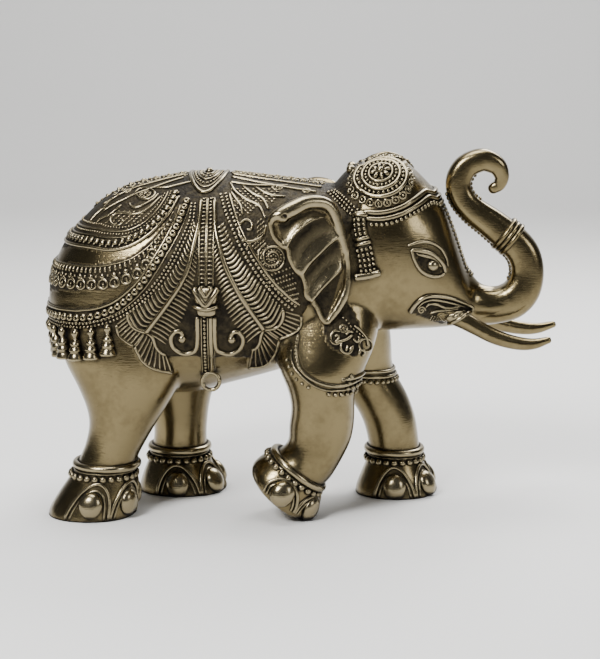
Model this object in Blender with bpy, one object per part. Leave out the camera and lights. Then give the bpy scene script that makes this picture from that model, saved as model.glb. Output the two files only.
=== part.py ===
"""A cast brass elephant in the Indian style: one hollow casting, modelled here as one solid.

Metres, +Z up. The elephant faces +X and stands on three feet and the toe of the fourth.
It is drawn in units of LENGTH / 203, about a millimetre each at its real size.
"""

import math
from functools import partial

import bmesh
import bpy
from mathutils import Matrix, Vector
from mathutils.bvhtree import BVHTree

LENGTH = 0.203
UNIT = LENGTH / 203.0

BODY_VOXEL = 1.3
RELIEF_VOXEL = 0.72
MELT_STEPS = 7
TRIANGLES = 9400
GROUND_CUT = 3.0

BLANKET_RISE = 1.1
CORD = 0.9
WIDE_CORD = 1.3
FLUTE = 1.15

BRASS_COLOUR = (0.46, 0.36, 0.19, 1.0)
BRASS_ROUGHNESS = 0.28

# The eye that the side ornament is laid out from: a and b are x and z on the centre plane.
EYE = Vector((42.8, -835.9, 218.6))

# x, top, bottom and half width of the trunk of the body, from rump to neck.
TORSO = [
    (-100, 88, 80, 4), (-99.1, 95, 72, 13), (-96.8, 101, 64, 19.5), (-91.8, 109.5, 55, 26),
    (-81, 121, 50, 31.5), (-69, 128, 47, 34.5), (-57, 131, 45.5, 36), (-43, 133.2, 46, 36.5),
    (-30, 133.4, 49.5, 36.5), (-17, 132.2, 53, 35.5), (-5, 131, 56.5, 33.5), (8, 129.5, 60, 31),
    (20, 128, 66, 28), (32, 124, 72, 24),
]
# The same for the head, from nape to brow.
HEAD = [
    (12, 127, 84, 18), (17, 133.5, 79, 23), (23, 137.5, 74, 25.3), (30, 139.6, 72, 25.8),
    (37, 139.6, 71.5, 25.2), (43, 137, 72, 23.8), (49, 131.5, 72.3, 21.5), (54, 125.5, 72.6, 19),
    (58, 117, 73, 16.8), (61.5, 107.5, 73.5, 14.8), (64.5, 98.5, 74, 12.8), (67.5, 91, 74.4, 10),
]
# x, y, z and radius of the dome on each side of the head.
DOME = (33.0, 9.5, 126.5, 14.8)
# Each ring of a leg: x and z of its rear, x and z of its front, y of its middle, half width.
NEAR_HIND = [
    (-97, 82, -42, 84, -16, 18), (-94, 64, -43.5, 63, -18.5, 17.5), (-88, 51.5, -48.2, 51.5, -20, 16),
    (-84.6, 43, -53, 43, -20.4, 14.5), (-83.6, 36, -57.3, 36, -20.7, 13.3),
    (-85.2, 28.5, -61.6, 28.5, -21, 12.4), (-87.4, 23, -64.4, 23, -21, 12.4),
    (-90.4, 17, -65.6, 17, -21, 13), (-95.2, 10, -65, 10, -21, 15), (-99.8, 2.5, -65.8, 2.5, -21, 16.8),
    (-100.8, -GROUND_CUT, -66.2, -GROUND_CUT, -21, 17.2),
]
FAR_HIND = [
    (-88, 82, -34, 84, 16, 18), (-80, 62, -33.5, 61, 19, 17), (-71, 48, -36.5, 48, 20, 15.2),
    (-65, 37, -39.5, 37, 20.5, 13), (-63, 27.5, -40.8, 27.5, 21, 11.6), (-63.2, 20.5, -41, 20.5, 21, 11.6),
    (-64.6, 14.5, -40.4, 14.5, 21, 12.6), (-67.2, 8, -36.6, 8, 21, 15.2), (-69, 2, -33.6, 2, 21, 17),
    (-69.4, -GROUND_CUT, -33.2, -GROUND_CUT, 21, 17.4),
]
FAR_FRONT = [
    (-6, 84, 33, 86, 12, 14.5), (0, 68, 35.5, 65, 16.5, 15.2), (9, 54, 36.5, 52, 19.5, 14.2),
    (17.5, 41, 42.2, 41, 20, 12.8), (23.5, 31, 45.8, 31, 20, 11.6), (26.2, 21, 47.4, 20, 20.2, 11.2),
    (26, 15, 48.4, 15, 20.5, 12.2), (23.4, 8, 51.4, 8, 20.5, 14.8), (21.2, 2, 54, 2, 20.5, 16.5),
    (20.8, -GROUND_CUT, 54.4, -GROUND_CUT, 20.5, 16.9),
]
NEAR_FRONT = [
    (-13, 84, 30, 88, -13, 15.5), (-11, 71, 30.5, 73, -16.8, 16.2), (-8.4, 60, 25.4, 58.5, -20, 16),
    (-5, 51.5, 21.8, 49.5, -20.5, 14.5), (-3.4, 44, 21.7, 41, -21, 13.3), (-4.2, 36.5, 20.6, 32, -21, 12.7),
    (-4.4, 31, 17.4, 24.4, -21, 12.4), (-6.8, 27.4, 12.3, 15.6, -21, 12.4),
    (-10.4, 26, 8, 11.2, -21, 13), (-15, 24, 7.4, 7.2, -21, 14.4), (-18.6, 20.6, 6, 3, -21, 15.8),
    (-19, 17, 4, 0, -21, 16.3), (-17, 13.4, 1, -1, -21, 15.6),
]
# x, z and radius along the trunk, from the face to the tip of its curl.
TRUNK = [
    (56, 88, 14), (61.5, 85, 11.6), (68.5, 82.2, 8.8), (76.1, 81.6, 7.7), (83.2, 83.6, 7.4), (87.6, 88, 7.2),
    (89.4, 94.6, 6.7), (88.2, 101.5, 6.6), (84.6, 106.6, 6.5), (79.4, 111, 6.3), (73.8, 115.3, 5.9),
    (67.8, 119.6, 5.4), (63.6, 124.1, 5.1), (61.8, 128.8, 5.1), (62.3, 133.2, 5.1), (65.2, 137.3, 4.9),
    (71.2, 139.6, 4.6), (76.6, 137.4, 3.9), (78.7, 133.3, 3), (77.9, 130, 2.5), (75.6, 128.4, 2.2),
]
# x, z, distance from the centre plane and radius along a tusk.
TUSK = [
    (54, 81.5, 11, 3.6), (62.9, 78.2, 13.4, 3.5), (69.2, 75.1, 14.8, 3.2), (76.6, 71.6, 16.2, 3),
    (84.8, 69.5, 17.4, 2.7), (91.3, 69.3, 18, 2.2), (97.6, 71, 18.2, 1.3),
]
# Share of the trunk that is melted into the head; its thin curl keeps its gap.
TRUNK_MELTED = 0.7
FAR_TUSK_REACH = 4.2
TUSK_ROOT_X = 54.0
# x, z and radius down the tail, which hangs on the centre plane behind the hind legs.
TAIL = [
    (-95.6, 94, 2.6), (-98.4, 84, 2.6), (-98, 73, 2.3), (-93, 62, 2), (-87.6, 52, 1.8), (-84, 44, 3),
    (-82, 37, 1.2),
]

# Outline of the ear, from the front of its root over the top, down the scalloped edge and back.
EAR_TOP = [
    (18.3, 106.3), (16.6, 112.6), (14.8, 119.5), (12.7, 124.1), (9.3, 126.5), (3.3, 127.1), (-2.4, 125.1),
    (-7.3, 122.4), (-10.4, 119.6),
]
EAR_EDGE = [
    (-10.4, 119.6), (-9, 113.7), (-6, 110.1), (-3.6, 108.5), (-3, 105.2), (-1, 101), (1.8, 97.9), (3, 94.6),
    (3.3, 90.4), (5.3, 88.2), (7.4, 85.3), (9.1, 81.1), (11, 79),
]
EAR_FRONT = [(11, 79), (14.5, 83.9), (17.3, 89), (18.7, 93.8), (19.1, 100), (18.3, 106.3)]
EAR_LOBE = (-5.8, 121.4, 3.0)
EAR_ROOT_X = 21.0
EAR_ROOT_Y = 27.5
EAR_SPLAY = 0.37
EAR_THICK = 2.6
EAR_RIM = 2.3
EAR_EDGE_RIM = 1.1
EAR_FRONT_RIM = 1.6
FOLD_RISE = 2.6
# Crests of the ear's folds, each from the scalloped edge inward; a fold rises from one crest to the next.
EAR_CRESTS = [
    [(-7.5, 118.2), (-2.8, 119.8), (0.8, 122), (6, 123.4), (11, 121)],
    [(-4.2, 108.8), (-1.7, 113.3), (2, 117), (6, 119.5), (10, 120.4)],
    [(1.6, 98.2), (4.6, 102.8), (8.7, 106.9), (12, 110), (15.8, 112.6)],
    [(5.3, 87.8), (8.7, 92.2), (12.1, 95.7), (17, 100.4)],
]

# Hem of the blanket on a side, from the nape down and back to the rump.
BLANKET = [
    (26, 150), (22, 118), (13, 100), (6, 88), (-0.4, 77), (-2, 71), (-6.4, 67), (-9.2, 65.8), (-11.6, 60.6),
    (-15.3, 56.3), (-21.8, 54.9), (-20.6, 60), (-55, 60), (-52.6, 53.1), (-60, 54), (-64.6, 57.7),
    (-67.8, 63.6), (-75.2, 69.4), (-83, 71.6), (-91, 70.6), (-98, 71.6), (-120, 76), (-120, 150),
]

# Cords around the rump with their radii: its disc border, and the foot of each band above.
RUMP_CORDS = [
    (
        [
            (-46, 122.3), (-51, 112.6), (-56.2, 100.7), (-63.6, 89.5),
            (-73.2, 80.4), (-83.9, 75.6), (-92, 74.6),
        ],
        1.7,
    ),
    ([(-48.8, 122.3), (-56.1, 113.6), (-61.8, 108.5), (-69.5, 104.2), (-77.8, 102.9), (-85, 104.1)], 1.3),
    ([(-53.5, 114.1), (-61.4, 100.2), (-67.4, 93.9), (-76.7, 89.4), (-85.8, 88), (-92, 89)], 1.3),
]
REAR_STEPS = 20
# x and distance from the centre plane along the cords on top of the back.
CREST_CORDS = [[(-45, 5), (-60, 8), (-78, 12)], [(-29, 5), (-14, 7), (4, 9)]]
LEFT_RIB = [(-40.5, 121.5), (-43.1, 107), (-47.2, 92.4), (-55.1, 80.1), (-62.8, 69.5)]
LEFT_BAND = [(-43.5, 118), (-50, 104.5), (-57.5, 92), (-66, 80.5), (-70.4, 75)]
LEFT_UNDER = [(-41.2, 110), (-43.6, 96), (-48, 85), (-53, 76), (-57.6, 68)]
RIGHT_RIB = [(-35.5, 121), (-33.9, 107), (-30.5, 95.6), (-24.8, 84.2), (-14.9, 71.2)]
RIGHT_BAND = [(-33.4, 121), (-29.9, 112), (-24.6, 101), (-16.4, 89), (-7.6, 78.8)]
RIGHT_UNDER = [(-36, 110), (-34.2, 96), (-30.4, 85), (-25, 76), (-20, 68.4)]
LEFT_FAN = [(-75.2, 69.4), (-68.3, 63.4), (-64.6, 57.7), (-60, 54), (-52.6, 53.1)]
LEFT_FAN_ROOT = [(-69, 75), (-66, 72), (-63, 69.6), (-59.4, 64), (-55.7, 60.2)]
RIGHT_FAN = [(-1.4, 74.9), (-2.3, 71), (-9.2, 65.8), (-13.4, 58.4), (-21.8, 54.9)]
RIGHT_FAN_ROOT = [(-8, 77), (-11, 73.6), (-15, 71), (-17.6, 66.7), (-20.4, 62)]
SHOULDER_CORD = [(-30.3, 126), (-28, 117), (-24, 107), (-18.8, 97.4), (-12, 87.6), (-4.4, 80)]
STRIP = [(-38.6, 122), (-38.8, 104), (-38.8, 87)]
STRIP_WIDTH = 4.6
TAIL_STRIP = [(-38.9, 75), (-38.7, 64), (-38.3, 52.5)]
TAIL_STRIP_WIDTH = 5.2
STRIP_KNOT = (-38.8, 81.5, 4.2, 5)
STRIP_RING = (-37.4, 49.9, 3.3)
LEFT_SCROLL = [(-42.2, 75.7), (-42.2, 64.5), (-47.2, 61.4), (-51.8, 65.8), (-49.6, 67.6)]
RIGHT_SCROLL = [(-35, 75.8), (-34.4, 64.5), (-29.4, 61.4), (-24.4, 65.4), (-26.8, 67.4)]
VOLUTES = [(-22.6, 111.8, 3.6), (-11.7, 100.1, 5.2), (-74.5, 114.5, 3.4)]
FLUTES = 8
FAN_FLUTES = 5

SPINE_DISC = (-37.0, 7.2, 20.5)
TASSEL_HEM_Z = 75.4
TASSEL_HUB_X = -72.0
TASSEL_FRONT_X = -73.4
TASSEL_STEP = 6.8
TASSEL_DROP = 12.2
TASSEL_RADIUS = 2.8
TASSEL_FIRST = 22.0
# Share of the drop and share of the radius, down a tassel.
TASSEL_PROFILE = [(0, 0.5), (0.14, 0.75), (0.3, 0.4), (0.62, 1.0), (0.7, 0.7), (1.0, 1.15)]

# x, distance from the centre plane, half length and half width of the medallion on a dome of the head.
DOME_DISC = (31.5, 12.0, 10.5, 7.5)
HEADBAND = [(22.6, 118.6), (33, 117.6), (42.5, 121.8), (50, 127)]
HEAD_BEADS = [(25.5, 113.6), (32, 113.4), (39, 115.4), (46, 118.6), (50.2, 121.4)]
HEAD_TASSEL = [(23.6, 116.5), (24.2, 104), (25.6, 93.4)]
HEAD_TASSEL_WIDTH = 6.6
HEAD_MIDDLE_X = 36.0
BROW_STRIP = [130, 125, 120, 115, 109, 103, 97, 92]
EYE_CENTRE = (51.3, 98.4)
EYE_SIZE = (7.0, 3.4)
EYE_TILT = -0.5
EYEBALL = 2.0
LID = 0.75
BROW = [(42.2, 105.3), (47.9, 106.5), (53.9, 105.7), (56.8, 102.4)]
LEAF = [
    (42.8, 79.4), (45.8, 83.3), (50.4, 84.9), (56.5, 84.2), (62.6, 82.3), (66.6, 79.8), (63.5, 74.9),
    (55.8, 72.6), (50.5, 74), (46.6, 77.1),
]
LEAF_SPINE = [(46.5, 79.6), (52, 79.4), (59, 78.6), (64, 78.2)]
LEAF_WIDTH = 6.0
TRUNK_BAND = (82.4, 110.2)
COLLAR = [(-2.6, 70), (-2.8, 62), (-1.4, 56), (2.4, 51.6), (8, 48.6), (15, 47.8), (21.4, 49.6)]
CHEST_SCROLLS = [(13, 69, 3.4), (17, 73.4, 3), (19, 64.8, 3.4)]

TOENAILS = 4
TOENAIL_SPREAD = 60.0
NAIL = 5.0
ARCH_WIDTH = 7.6
ARCH_DROP = 4.0
ARCH_RISE = 10.2
ARCH_CORD = 1.2
# Share of the way from a foot's top ring to its sole where its nails sit.
NAIL_LEVEL = 0.52
# Height over the whole statue, that rays are cast down from.
SKY = 200.0
SOFT_EDGE = math.radians(35)


def place(x, y, z):
    return Vector((x, y, z)) * UNIT


def smooth_curve(points, steps):
    """Points of a curve through the given ones, with the given number of steps to a span."""
    before = [2 * a - b for a, b in zip(points[0], points[1])]
    after = [2 * a - b for a, b in zip(points[-1], points[-2])]
    knots = [before, *points, after]
    out = []
    for i in range(1, len(knots) - 2):
        for s in range(steps):
            t = s / steps
            out.append([
                b + 0.5 * t * (c - a + t * (2 * a - 5 * b + 4 * c - d + t * (3 * b - a - 3 * c + d)))
                for a, b, c, d in zip(knots[i - 1], knots[i], knots[i + 1], knots[i + 2])
            ])
    out.append(list(points[-1]))
    return out


def resample(points, count):
    """The given number of points, evenly spaced along a line of vectors."""
    runs = [0.0]
    for a, b in zip(points, points[1:]):
        runs.append(runs[-1] + (b - a).length)
    out = []
    j = 0
    for i in range(count):
        want = runs[-1] * i / (count - 1)
        while j < len(points) - 2 and runs[j + 1] < want:
            j += 1
        share = (want - runs[j]) / max(runs[j + 1] - runs[j], 1e-12)
        out.append(points[j].lerp(points[j + 1], min(max(share, 0.0), 1.0)))
    return out


def add_loft(bm, rings):
    """Join rings of equal count into one closed shell."""
    made = [[bm.verts.new(p) for p in ring] for ring in rings]
    count = len(made[0])
    for lower, upper in zip(made, made[1:]):
        for i in range(count):
            j = (i + 1) % count
            bm.faces.new((lower[i], lower[j], upper[j], upper[i]))
    for ring in (made[0], made[-1]):
        hub = bm.verts.new(sum((v.co for v in ring), Vector()) / count)
        for i in range(count):
            bm.faces.new((ring[i], ring[(i + 1) % count], hub))


def oval(centre, u, v, count, power=2.0):
    """A ring about a centre; a power over 2 makes it squarer."""
    out = []
    for i in range(count):
        angle = 2 * math.pi * i / count
        c, s = math.cos(angle), math.sin(angle)
        c = math.copysign(abs(c) ** (2 / power), c)
        s = math.copysign(abs(s) ** (2 / power), s)
        out.append(centre + u * c + v * s)
    return out


def add_barrel(bm, stations, power):
    """A body lofted along X from stations of x, top, bottom and half width."""
    rings = []
    for x, top, bottom, half in smooth_curve(stations, 4):
        centre = place(x, 0, (top + bottom) / 2)
        rings.append(oval(centre, place(0, half, 0), place(0, 0, (top - bottom) / 2), 40, power))
    add_loft(bm, rings)


def add_leg(bm, stations):
    rings = []
    for rear_x, rear_z, front_x, front_z, y, half in smooth_curve(stations, 4):
        rear, front = place(rear_x, y, rear_z), place(front_x, y, front_z)
        rings.append(oval((rear + front) / 2, (front - rear) / 2, place(0, half, 0), 32, 2.15))
    add_loft(bm, rings)


def add_tube(bm, points, radii, count=12, normals=None, flat=1.0):
    """A tube along a line; with normals, its section is flattened along them."""
    rings = []
    for i, p in enumerate(points):
        ahead = points[min(i + 1, len(points) - 1)] - points[max(i - 1, 0)]
        if normals:
            side = ahead.cross(normals[i]).normalized()
            up = side.cross(ahead).normalized() * flat
        else:
            side = ahead.cross(Vector((0, 1, 0))).normalized()
            up = side.cross(ahead).normalized()
        rings.append(oval(p, side * radii[i], up * radii[i], count))
    add_loft(bm, rings)


def add_ball(bm, centre, radius, squash=None, normal=None):
    """A ball of the given radius; with a normal and squash, a button that lies flat on it."""
    made = bmesh.ops.create_icosphere(bm, subdivisions=2, radius=radius)["verts"]
    for v in made:
        if normal is not None:
            v.co -= normal * v.co.dot(normal) * (1 - squash)
        v.co += centre


def trunk_line():
    """Centre points and radii of the trunk."""
    curve = smooth_curve(TRUNK, 6)
    return [place(x, 0, z) for x, z, r in curve], [r * UNIT for x, z, r in curve]


def add_trunk(bm, share):
    """The trunk, or only a share of it from the face on."""
    points, radii = trunk_line()
    kept = int(share * len(points))
    add_tube(bm, points[:kept], radii[:kept], 20)


def add_tusk(bm, side, reach):
    stretch = 1 + reach / (TUSK[-1][0] - TUSK_ROOT_X)
    curve = smooth_curve(TUSK, 5)
    points = [place(TUSK_ROOT_X + (x - TUSK_ROOT_X) * stretch, side * y, z) for x, z, y, r in curve]
    add_tube(bm, points, [r * UNIT for x, z, y, r in curve], 14)


def add_limbs(bm, trunk_share):
    """Trunk, tusks and tail: in before the melting for their roots, and after it for their form."""
    add_trunk(bm, trunk_share)
    add_tusk(bm, -1, 0)
    add_tusk(bm, 1, FAR_TUSK_REACH)
    add_tail(bm)


def add_tail(bm):
    curve = smooth_curve(TAIL, 5)
    add_tube(bm, [place(x, 0, z) for x, z, r in curve], [r * UNIT for x, z, r in curve], 10)


def mesh_from(bm, name):
    bmesh.ops.recalc_face_normals(bm, faces=bm.faces)
    mesh = bpy.data.meshes.new(name)
    bm.to_mesh(mesh)
    bm.free()
    return mesh


def melted(mesh, voxel, steps):
    """The mesh remade as one skin, with its joins melted by a few steps of smoothing."""
    holder = bpy.data.objects.new("melting", mesh)
    bpy.context.scene.collection.objects.link(holder)
    remesh = holder.modifiers.new("One skin", "REMESH")
    remesh.mode = "VOXEL"
    remesh.voxel_size = voxel * UNIT
    if steps:
        soften = holder.modifiers.new("Melt", "SMOOTH")
        soften.factor = 0.5
        soften.iterations = steps
    bpy.context.view_layer.update()
    result = bpy.data.meshes.new_from_object(holder.evaluated_get(bpy.context.evaluated_depsgraph_get()))
    bpy.data.objects.remove(holder)
    bpy.data.meshes.remove(mesh)
    return result


def body_skin():
    """The plain elephant, before its ears and ornament."""
    bm = bmesh.new()
    add_barrel(bm, TORSO, 2.15)
    add_barrel(bm, HEAD, 2.2)
    for side in (-1, 1):
        add_ball(bm, place(DOME[0], side * DOME[1], DOME[2]), DOME[3] * UNIT)
    for stations in (NEAR_HIND, FAR_HIND, NEAR_FRONT, FAR_FRONT):
        add_leg(bm, stations)
    add_limbs(bm, TRUNK_MELTED)
    return melted(mesh_from(bm, "body"), BODY_VOXEL, MELT_STEPS)


def inside(a, b, outline):
    """Whether a point of the centre plane lies inside an outline."""
    odd = False
    for (a0, b0), (a1, b1) in zip(outline, outline[1:] + outline[:1]):
        if (b0 > b) != (b1 > b) and a < (a1 - a0) * (b - b0) / (b1 - b0) + a0:
            odd = not odd
    return odd


def seen_at(point):
    """Where the eye on a point's own side sees it against the centre plane."""
    eye = Vector((EYE.x, math.copysign(EYE.y, point.y), EYE.z))
    p = point / UNIT
    t = eye.y / (eye.y - p.y)
    return eye.x + (p.x - eye.x) * t, eye.z + (p.z - eye.z) * t


def raise_blanket(mesh):
    mesh.calc_loop_triangles()
    lifts = []
    for v in mesh.vertices:
        if v.co.z > 50 * UNIT and v.co.x < 26 * UNIT:
            a, b = seen_at(v.co)
            if inside(a, b, BLANKET):
                lifts.append((v.index, v.normal * BLANKET_RISE * UNIT))
    for index, lift in lifts:
        mesh.vertices[index].co += lift


class Ground:
    """The skin that ornament is laid on, found by sight from the eye on either side."""

    def __init__(self, mesh):
        corners = [v.co.copy() for v in mesh.vertices]
        self.tree = BVHTree.FromPolygons(corners, [p.vertices[:] for p in mesh.polygons])

    def hit(self, a, b, side):
        eye = Vector((EYE.x, -side * EYE.y, EYE.z)) * UNIT
        target = place(a, 0, b)
        point, normal, _, _ = self.tree.ray_cast(eye, (target - eye).normalized())
        if point is None:
            point, normal, _, _ = self.tree.find_nearest(target + place(0, side * 8, 0))
        return point, normal

    def lay(self, line, side, count, lift=0.0):
        """Points and normals along a line of the centre plane, laid on one side of the skin."""
        flat = resample([Vector((a, 0, b)) for a, b in smooth_curve(line, 8)], count)
        found = [self.hit(p.x, p.z, side) for p in flat]
        return [p + n * lift * UNIT for p, n in found], [n for p, n in found]

    def under(self, x, y):
        """Point and normal of the skin under a spot in the sky."""
        return self.tree.ray_cast(place(x, y, SKY), Vector((0, 0, -1)))[:2]

    def oval_under(self, x, y, long_radius, short_radius):
        """Points and normals of an oval dropped on the skin from the sky."""
        found = []
        for i in range(33):
            angle = 2 * math.pi * i / 32
            found.append(self.under(x + long_radius * math.cos(angle), y + short_radius * math.sin(angle)))
        return [p for p, n in found], [n for p, n in found]


def add_cord(bm, ground, line, side, radius, count=24, flat=1.0):
    points, normals = ground.lay(line, side, count)
    add_tube(bm, points, [radius * UNIT] * len(points), 8, normals, flat)


def add_flutes(bm, ground, one, other, side, count, radius):
    """Short raised ribs from one line to another."""
    start = resample([Vector((a, 0, b)) for a, b in smooth_curve(one, 8)], count)
    end = resample([Vector((a, 0, b)) for a, b in smooth_curve(other, 8)], count)
    for p, q in zip(start[1:], end[1:]):
        add_cord(bm, ground, [(p.x, p.z), ((p.x + q.x) / 2, (p.z + q.z) / 2), (q.x, q.z)], side, radius, 5)


def add_volute(bm, ground, a, b, size, side):
    """A spiral of one and a half turns, shrinking to its middle."""
    turns = [
        (a + size * (1 - t / 22) * math.cos(0.45 * t), b + size * (1 - t / 22) * math.sin(0.45 * t))
        for t in range(19)
    ]
    add_cord(bm, ground, turns, side, 0.8, 40)
    centre, _ = ground.hit(a, b, side)
    add_ball(bm, centre, 1.3 * UNIT)


def add_bar(bm, ground, line, side, width, height, count=14):
    """A flat-topped band along a line."""
    points, normals = ground.lay(line, side, count)
    rings = []
    for i, p in enumerate(points):
        ahead = points[min(i + 1, count - 1)] - points[max(i - 1, 0)]
        across = ahead.cross(normals[i]).normalized()
        rings.append(oval(p, across * width / 2 * UNIT, normals[i] * height * UNIT, 12, 5.0))
    add_loft(bm, rings)


def add_side_panels(bm, ground, side):
    """Borders, feather bands, fans and scrolls of the blanket on one side."""
    add_cord(bm, ground, SHOULDER_CORD, side, CORD, 22)
    for rib, band, under in ((LEFT_RIB, LEFT_BAND, LEFT_UNDER), (RIGHT_RIB, RIGHT_BAND, RIGHT_UNDER)):
        add_cord(bm, ground, rib, side, WIDE_CORD, 24)
        add_flutes(bm, ground, rib, band, side, FLUTES, FLUTE)
        add_flutes(bm, ground, rib, under, side, FLUTES, FLUTE * 0.8)
    for fan, root in ((LEFT_FAN, LEFT_FAN_ROOT), (RIGHT_FAN, RIGHT_FAN_ROOT)):
        add_cord(bm, ground, fan, side, CORD, 16)
        add_flutes(bm, ground, root, fan, side, FAN_FLUTES, FLUTE)
    add_bar(bm, ground, STRIP, side, STRIP_WIDTH, 1.4)
    add_bar(bm, ground, TAIL_STRIP, side, TAIL_STRIP_WIDTH, 1.2)
    a, b, width, height = STRIP_KNOT
    add_bar(bm, ground, [(a, b - height), (a, b), (a, b + height)], side, width * 2, 2.6)
    add_ring(bm, ground, *STRIP_RING, side, CORD)
    for line in (LEFT_SCROLL, RIGHT_SCROLL):
        add_cord(bm, ground, line, side, 1.1, 26)
        tip, _ = ground.hit(*line[-1], side)
        add_ball(bm, tip, 1.7 * UNIT)
    for a, b, size in VOLUTES:
        add_volute(bm, ground, a, b, size, side)


def add_rump_cords(bm, ground):
    """Cords that leave the middle of one side, go around the rump and end on the other."""
    hub = place(TASSEL_HUB_X, 0, 0)
    for line, radius in RUMP_CORDS:
        near, near_normals = ground.lay(line, -1, 24)
        far, far_normals = ground.lay(line, 1, 24)
        start, end = near[-1], far[-1]
        first = math.atan2(start.y, start.x - hub.x) + 2 * math.pi
        last = math.atan2(end.y, end.x - hub.x)
        back, back_normals = [], []
        for i in range(1, REAR_STEPS):
            share = i / REAR_STEPS
            turn = first + (last - first) * share
            out = Vector((math.cos(turn), math.sin(turn), 0))
            level = start.z + (end.z - start.z) * share
            point, normal, _, _ = ground.tree.ray_cast(hub + Vector((0, 0, level)) + out * LENGTH, -out)
            back.append(point)
            back_normals.append(normal)
        points = near + back + far[::-1]
        normals = near_normals + back_normals + far_normals[::-1]
        add_tube(bm, points, [radius * UNIT] * len(points), 8, normals)


def add_crest_cords(bm, ground):
    """Cords along the top of the back, fore and aft of its boss."""
    for side in (-1, 1):
        for line in CREST_CORDS:
            found = []
            for x, y in smooth_curve(line, 6):
                found.append(ground.under(x, side * y))
            add_tube(bm, [p for p, n in found], [CORD * UNIT] * len(found), 8, [n for p, n in found])


def add_ring(bm, ground, a, b, radius, side, cord):
    turn = [
        (a + radius * math.cos(math.pi * i / 6), b + radius * math.sin(math.pi * i / 6)) for i in range(13)
    ]
    add_cord(bm, ground, turn, side, cord, 26)


def add_spine_disc(bm, ground):
    """The boss on top of the back, inside two ovals that reach down both flanks."""
    x, length, reach = SPINE_DISC
    for share in (1.0, 0.62):
        ring, normals = ground.oval_under(x, 0, share * length, share * reach)
        add_tube(bm, ring, [CORD * UNIT] * len(ring), 8, normals)
    top, _ = ground.under(x, 0)
    add_ball(bm, top, 3.4 * UNIT, 0.5, Vector((0, 0, 1)))


def add_tassels(bm, ground):
    """Tassels around the rump under the blanket's hem, each a ball over three widening rings."""
    hub = place(TASSEL_HUB_X, 0, TASSEL_HEM_Z)
    spots = []
    angle = TASSEL_FIRST
    while angle < 360 - TASSEL_FIRST:
        turn = math.radians(angle)
        out = Vector((math.cos(turn), math.sin(turn), 0))
        if out.x < math.cos(math.radians(70)):
            hit = ground.tree.ray_cast(hub + out * 60 * UNIT, -out)[0]
            apart = not spots or (hit - spots[-1][0]).length > TASSEL_STEP * UNIT
            if apart and hit.x < TASSEL_FRONT_X * UNIT:
                spots.append((hit, out))
        angle += 0.5
    for top, out in spots:
        foot = ground.tree.ray_cast(top - place(0, 0, TASSEL_DROP) + out * 12 * UNIT, -out)[0]
        end = Vector((foot.x, foot.y, top.z - TASSEL_DROP * UNIT)) + out * 1.2 * UNIT
        start = top + out * 0.9 * UNIT
        points = [start.lerp(end, share) for share, r in TASSEL_PROFILE]
        radii = [TASSEL_RADIUS * r * UNIT for share, r in TASSEL_PROFILE]
        add_tube(bm, points, radii, 8)


def add_ear(bm, side):
    """A splayed flap with a rolled rim and three sharp folds."""
    def at(a, b, out=0.0):
        y = EAR_ROOT_Y + (EAR_ROOT_X - a) * EAR_SPLAY + out
        return place(a, side * y, b)

    top = smooth_curve(EAR_TOP, 5)
    edge = smooth_curve(EAR_EDGE, 5)
    front = smooth_curve(EAR_FRONT, 5)
    outline = top[:-1] + edge[:-1] + front[:-1]
    inner = [at(a, b, -EAR_THICK) for a, b in outline]
    outer = [at(a, b, 0) for a, b in outline]
    add_loft(bm, [inner, outer])
    for line, radius in ((top, EAR_RIM), (edge, EAR_EDGE_RIM), (front, EAR_FRONT_RIM)):
        points = [at(a, b, 0.3) for a, b in line]
        add_tube(bm, points, [radius * UNIT] * len(points), 10, [Vector((0, side, 0))] * len(points))
    a, b, radius = EAR_LOBE
    add_ball(bm, at(a, b), radius * UNIT)
    for foot, crest in zip(EAR_CRESTS, EAR_CRESTS[1:]):
        low = resample([Vector((a, b, 0)) for a, b in smooth_curve(foot, 6)], 13)
        high = resample([Vector((a, b, 0)) for a, b in smooth_curve(crest, 6)], 13)
        rings = []
        for i, (p, q) in enumerate(zip(low, high)):
            rise = FOLD_RISE * (0.45 + 0.55 * math.sin(math.pi * (0.15 + 0.7 * i / 12)))
            past = q + (q - p) * 0.1
            rings.append([at(p.x, p.y, -1), at(p.x, p.y, 0.1), at(q.x, q.y, rise), at(past.x, past.y, -1)])
        add_loft(bm, rings)


def add_headdress(bm, ground, side):
    for shift, radius in ((0, 1.15), (-2.6, 1.15)):
        line = [(a, b + shift) for a, b in HEADBAND]
        add_cord(bm, ground, line, side, radius, 20)
    points, normals = ground.lay(HEAD_BEADS, side, 13)
    for point, normal in zip(points, normals):
        add_ball(bm, point + normal * 0.3 * UNIT, 1.15 * UNIT)
    add_bar(bm, ground, HEAD_TASSEL, side, HEAD_TASSEL_WIDTH, 2.0)
    for share in (0.42, 0.72, 1.0):
        flat = smooth_curve(HEAD_TASSEL, 8)
        a, b = flat[int(share * (len(flat) - 1))]
        reach = HEAD_TASSEL_WIDTH * 0.62
        add_cord(bm, ground, [(a - reach, b), (a, b), (a + reach, b + 0.6)], side, 1.5, 7, 1.5)
    x, y, long_radius, short_radius = DOME_DISC
    for share in (1.0, 0.55):
        ring, normals = ground.oval_under(x, side * y, share * long_radius, share * short_radius)
        add_tube(bm, ring, [CORD * UNIT] * len(ring), 8, normals)
    boss, lean = ground.under(x, side * y)
    add_ball(bm, boss, 3.2 * UNIT, 0.55, lean)


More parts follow.
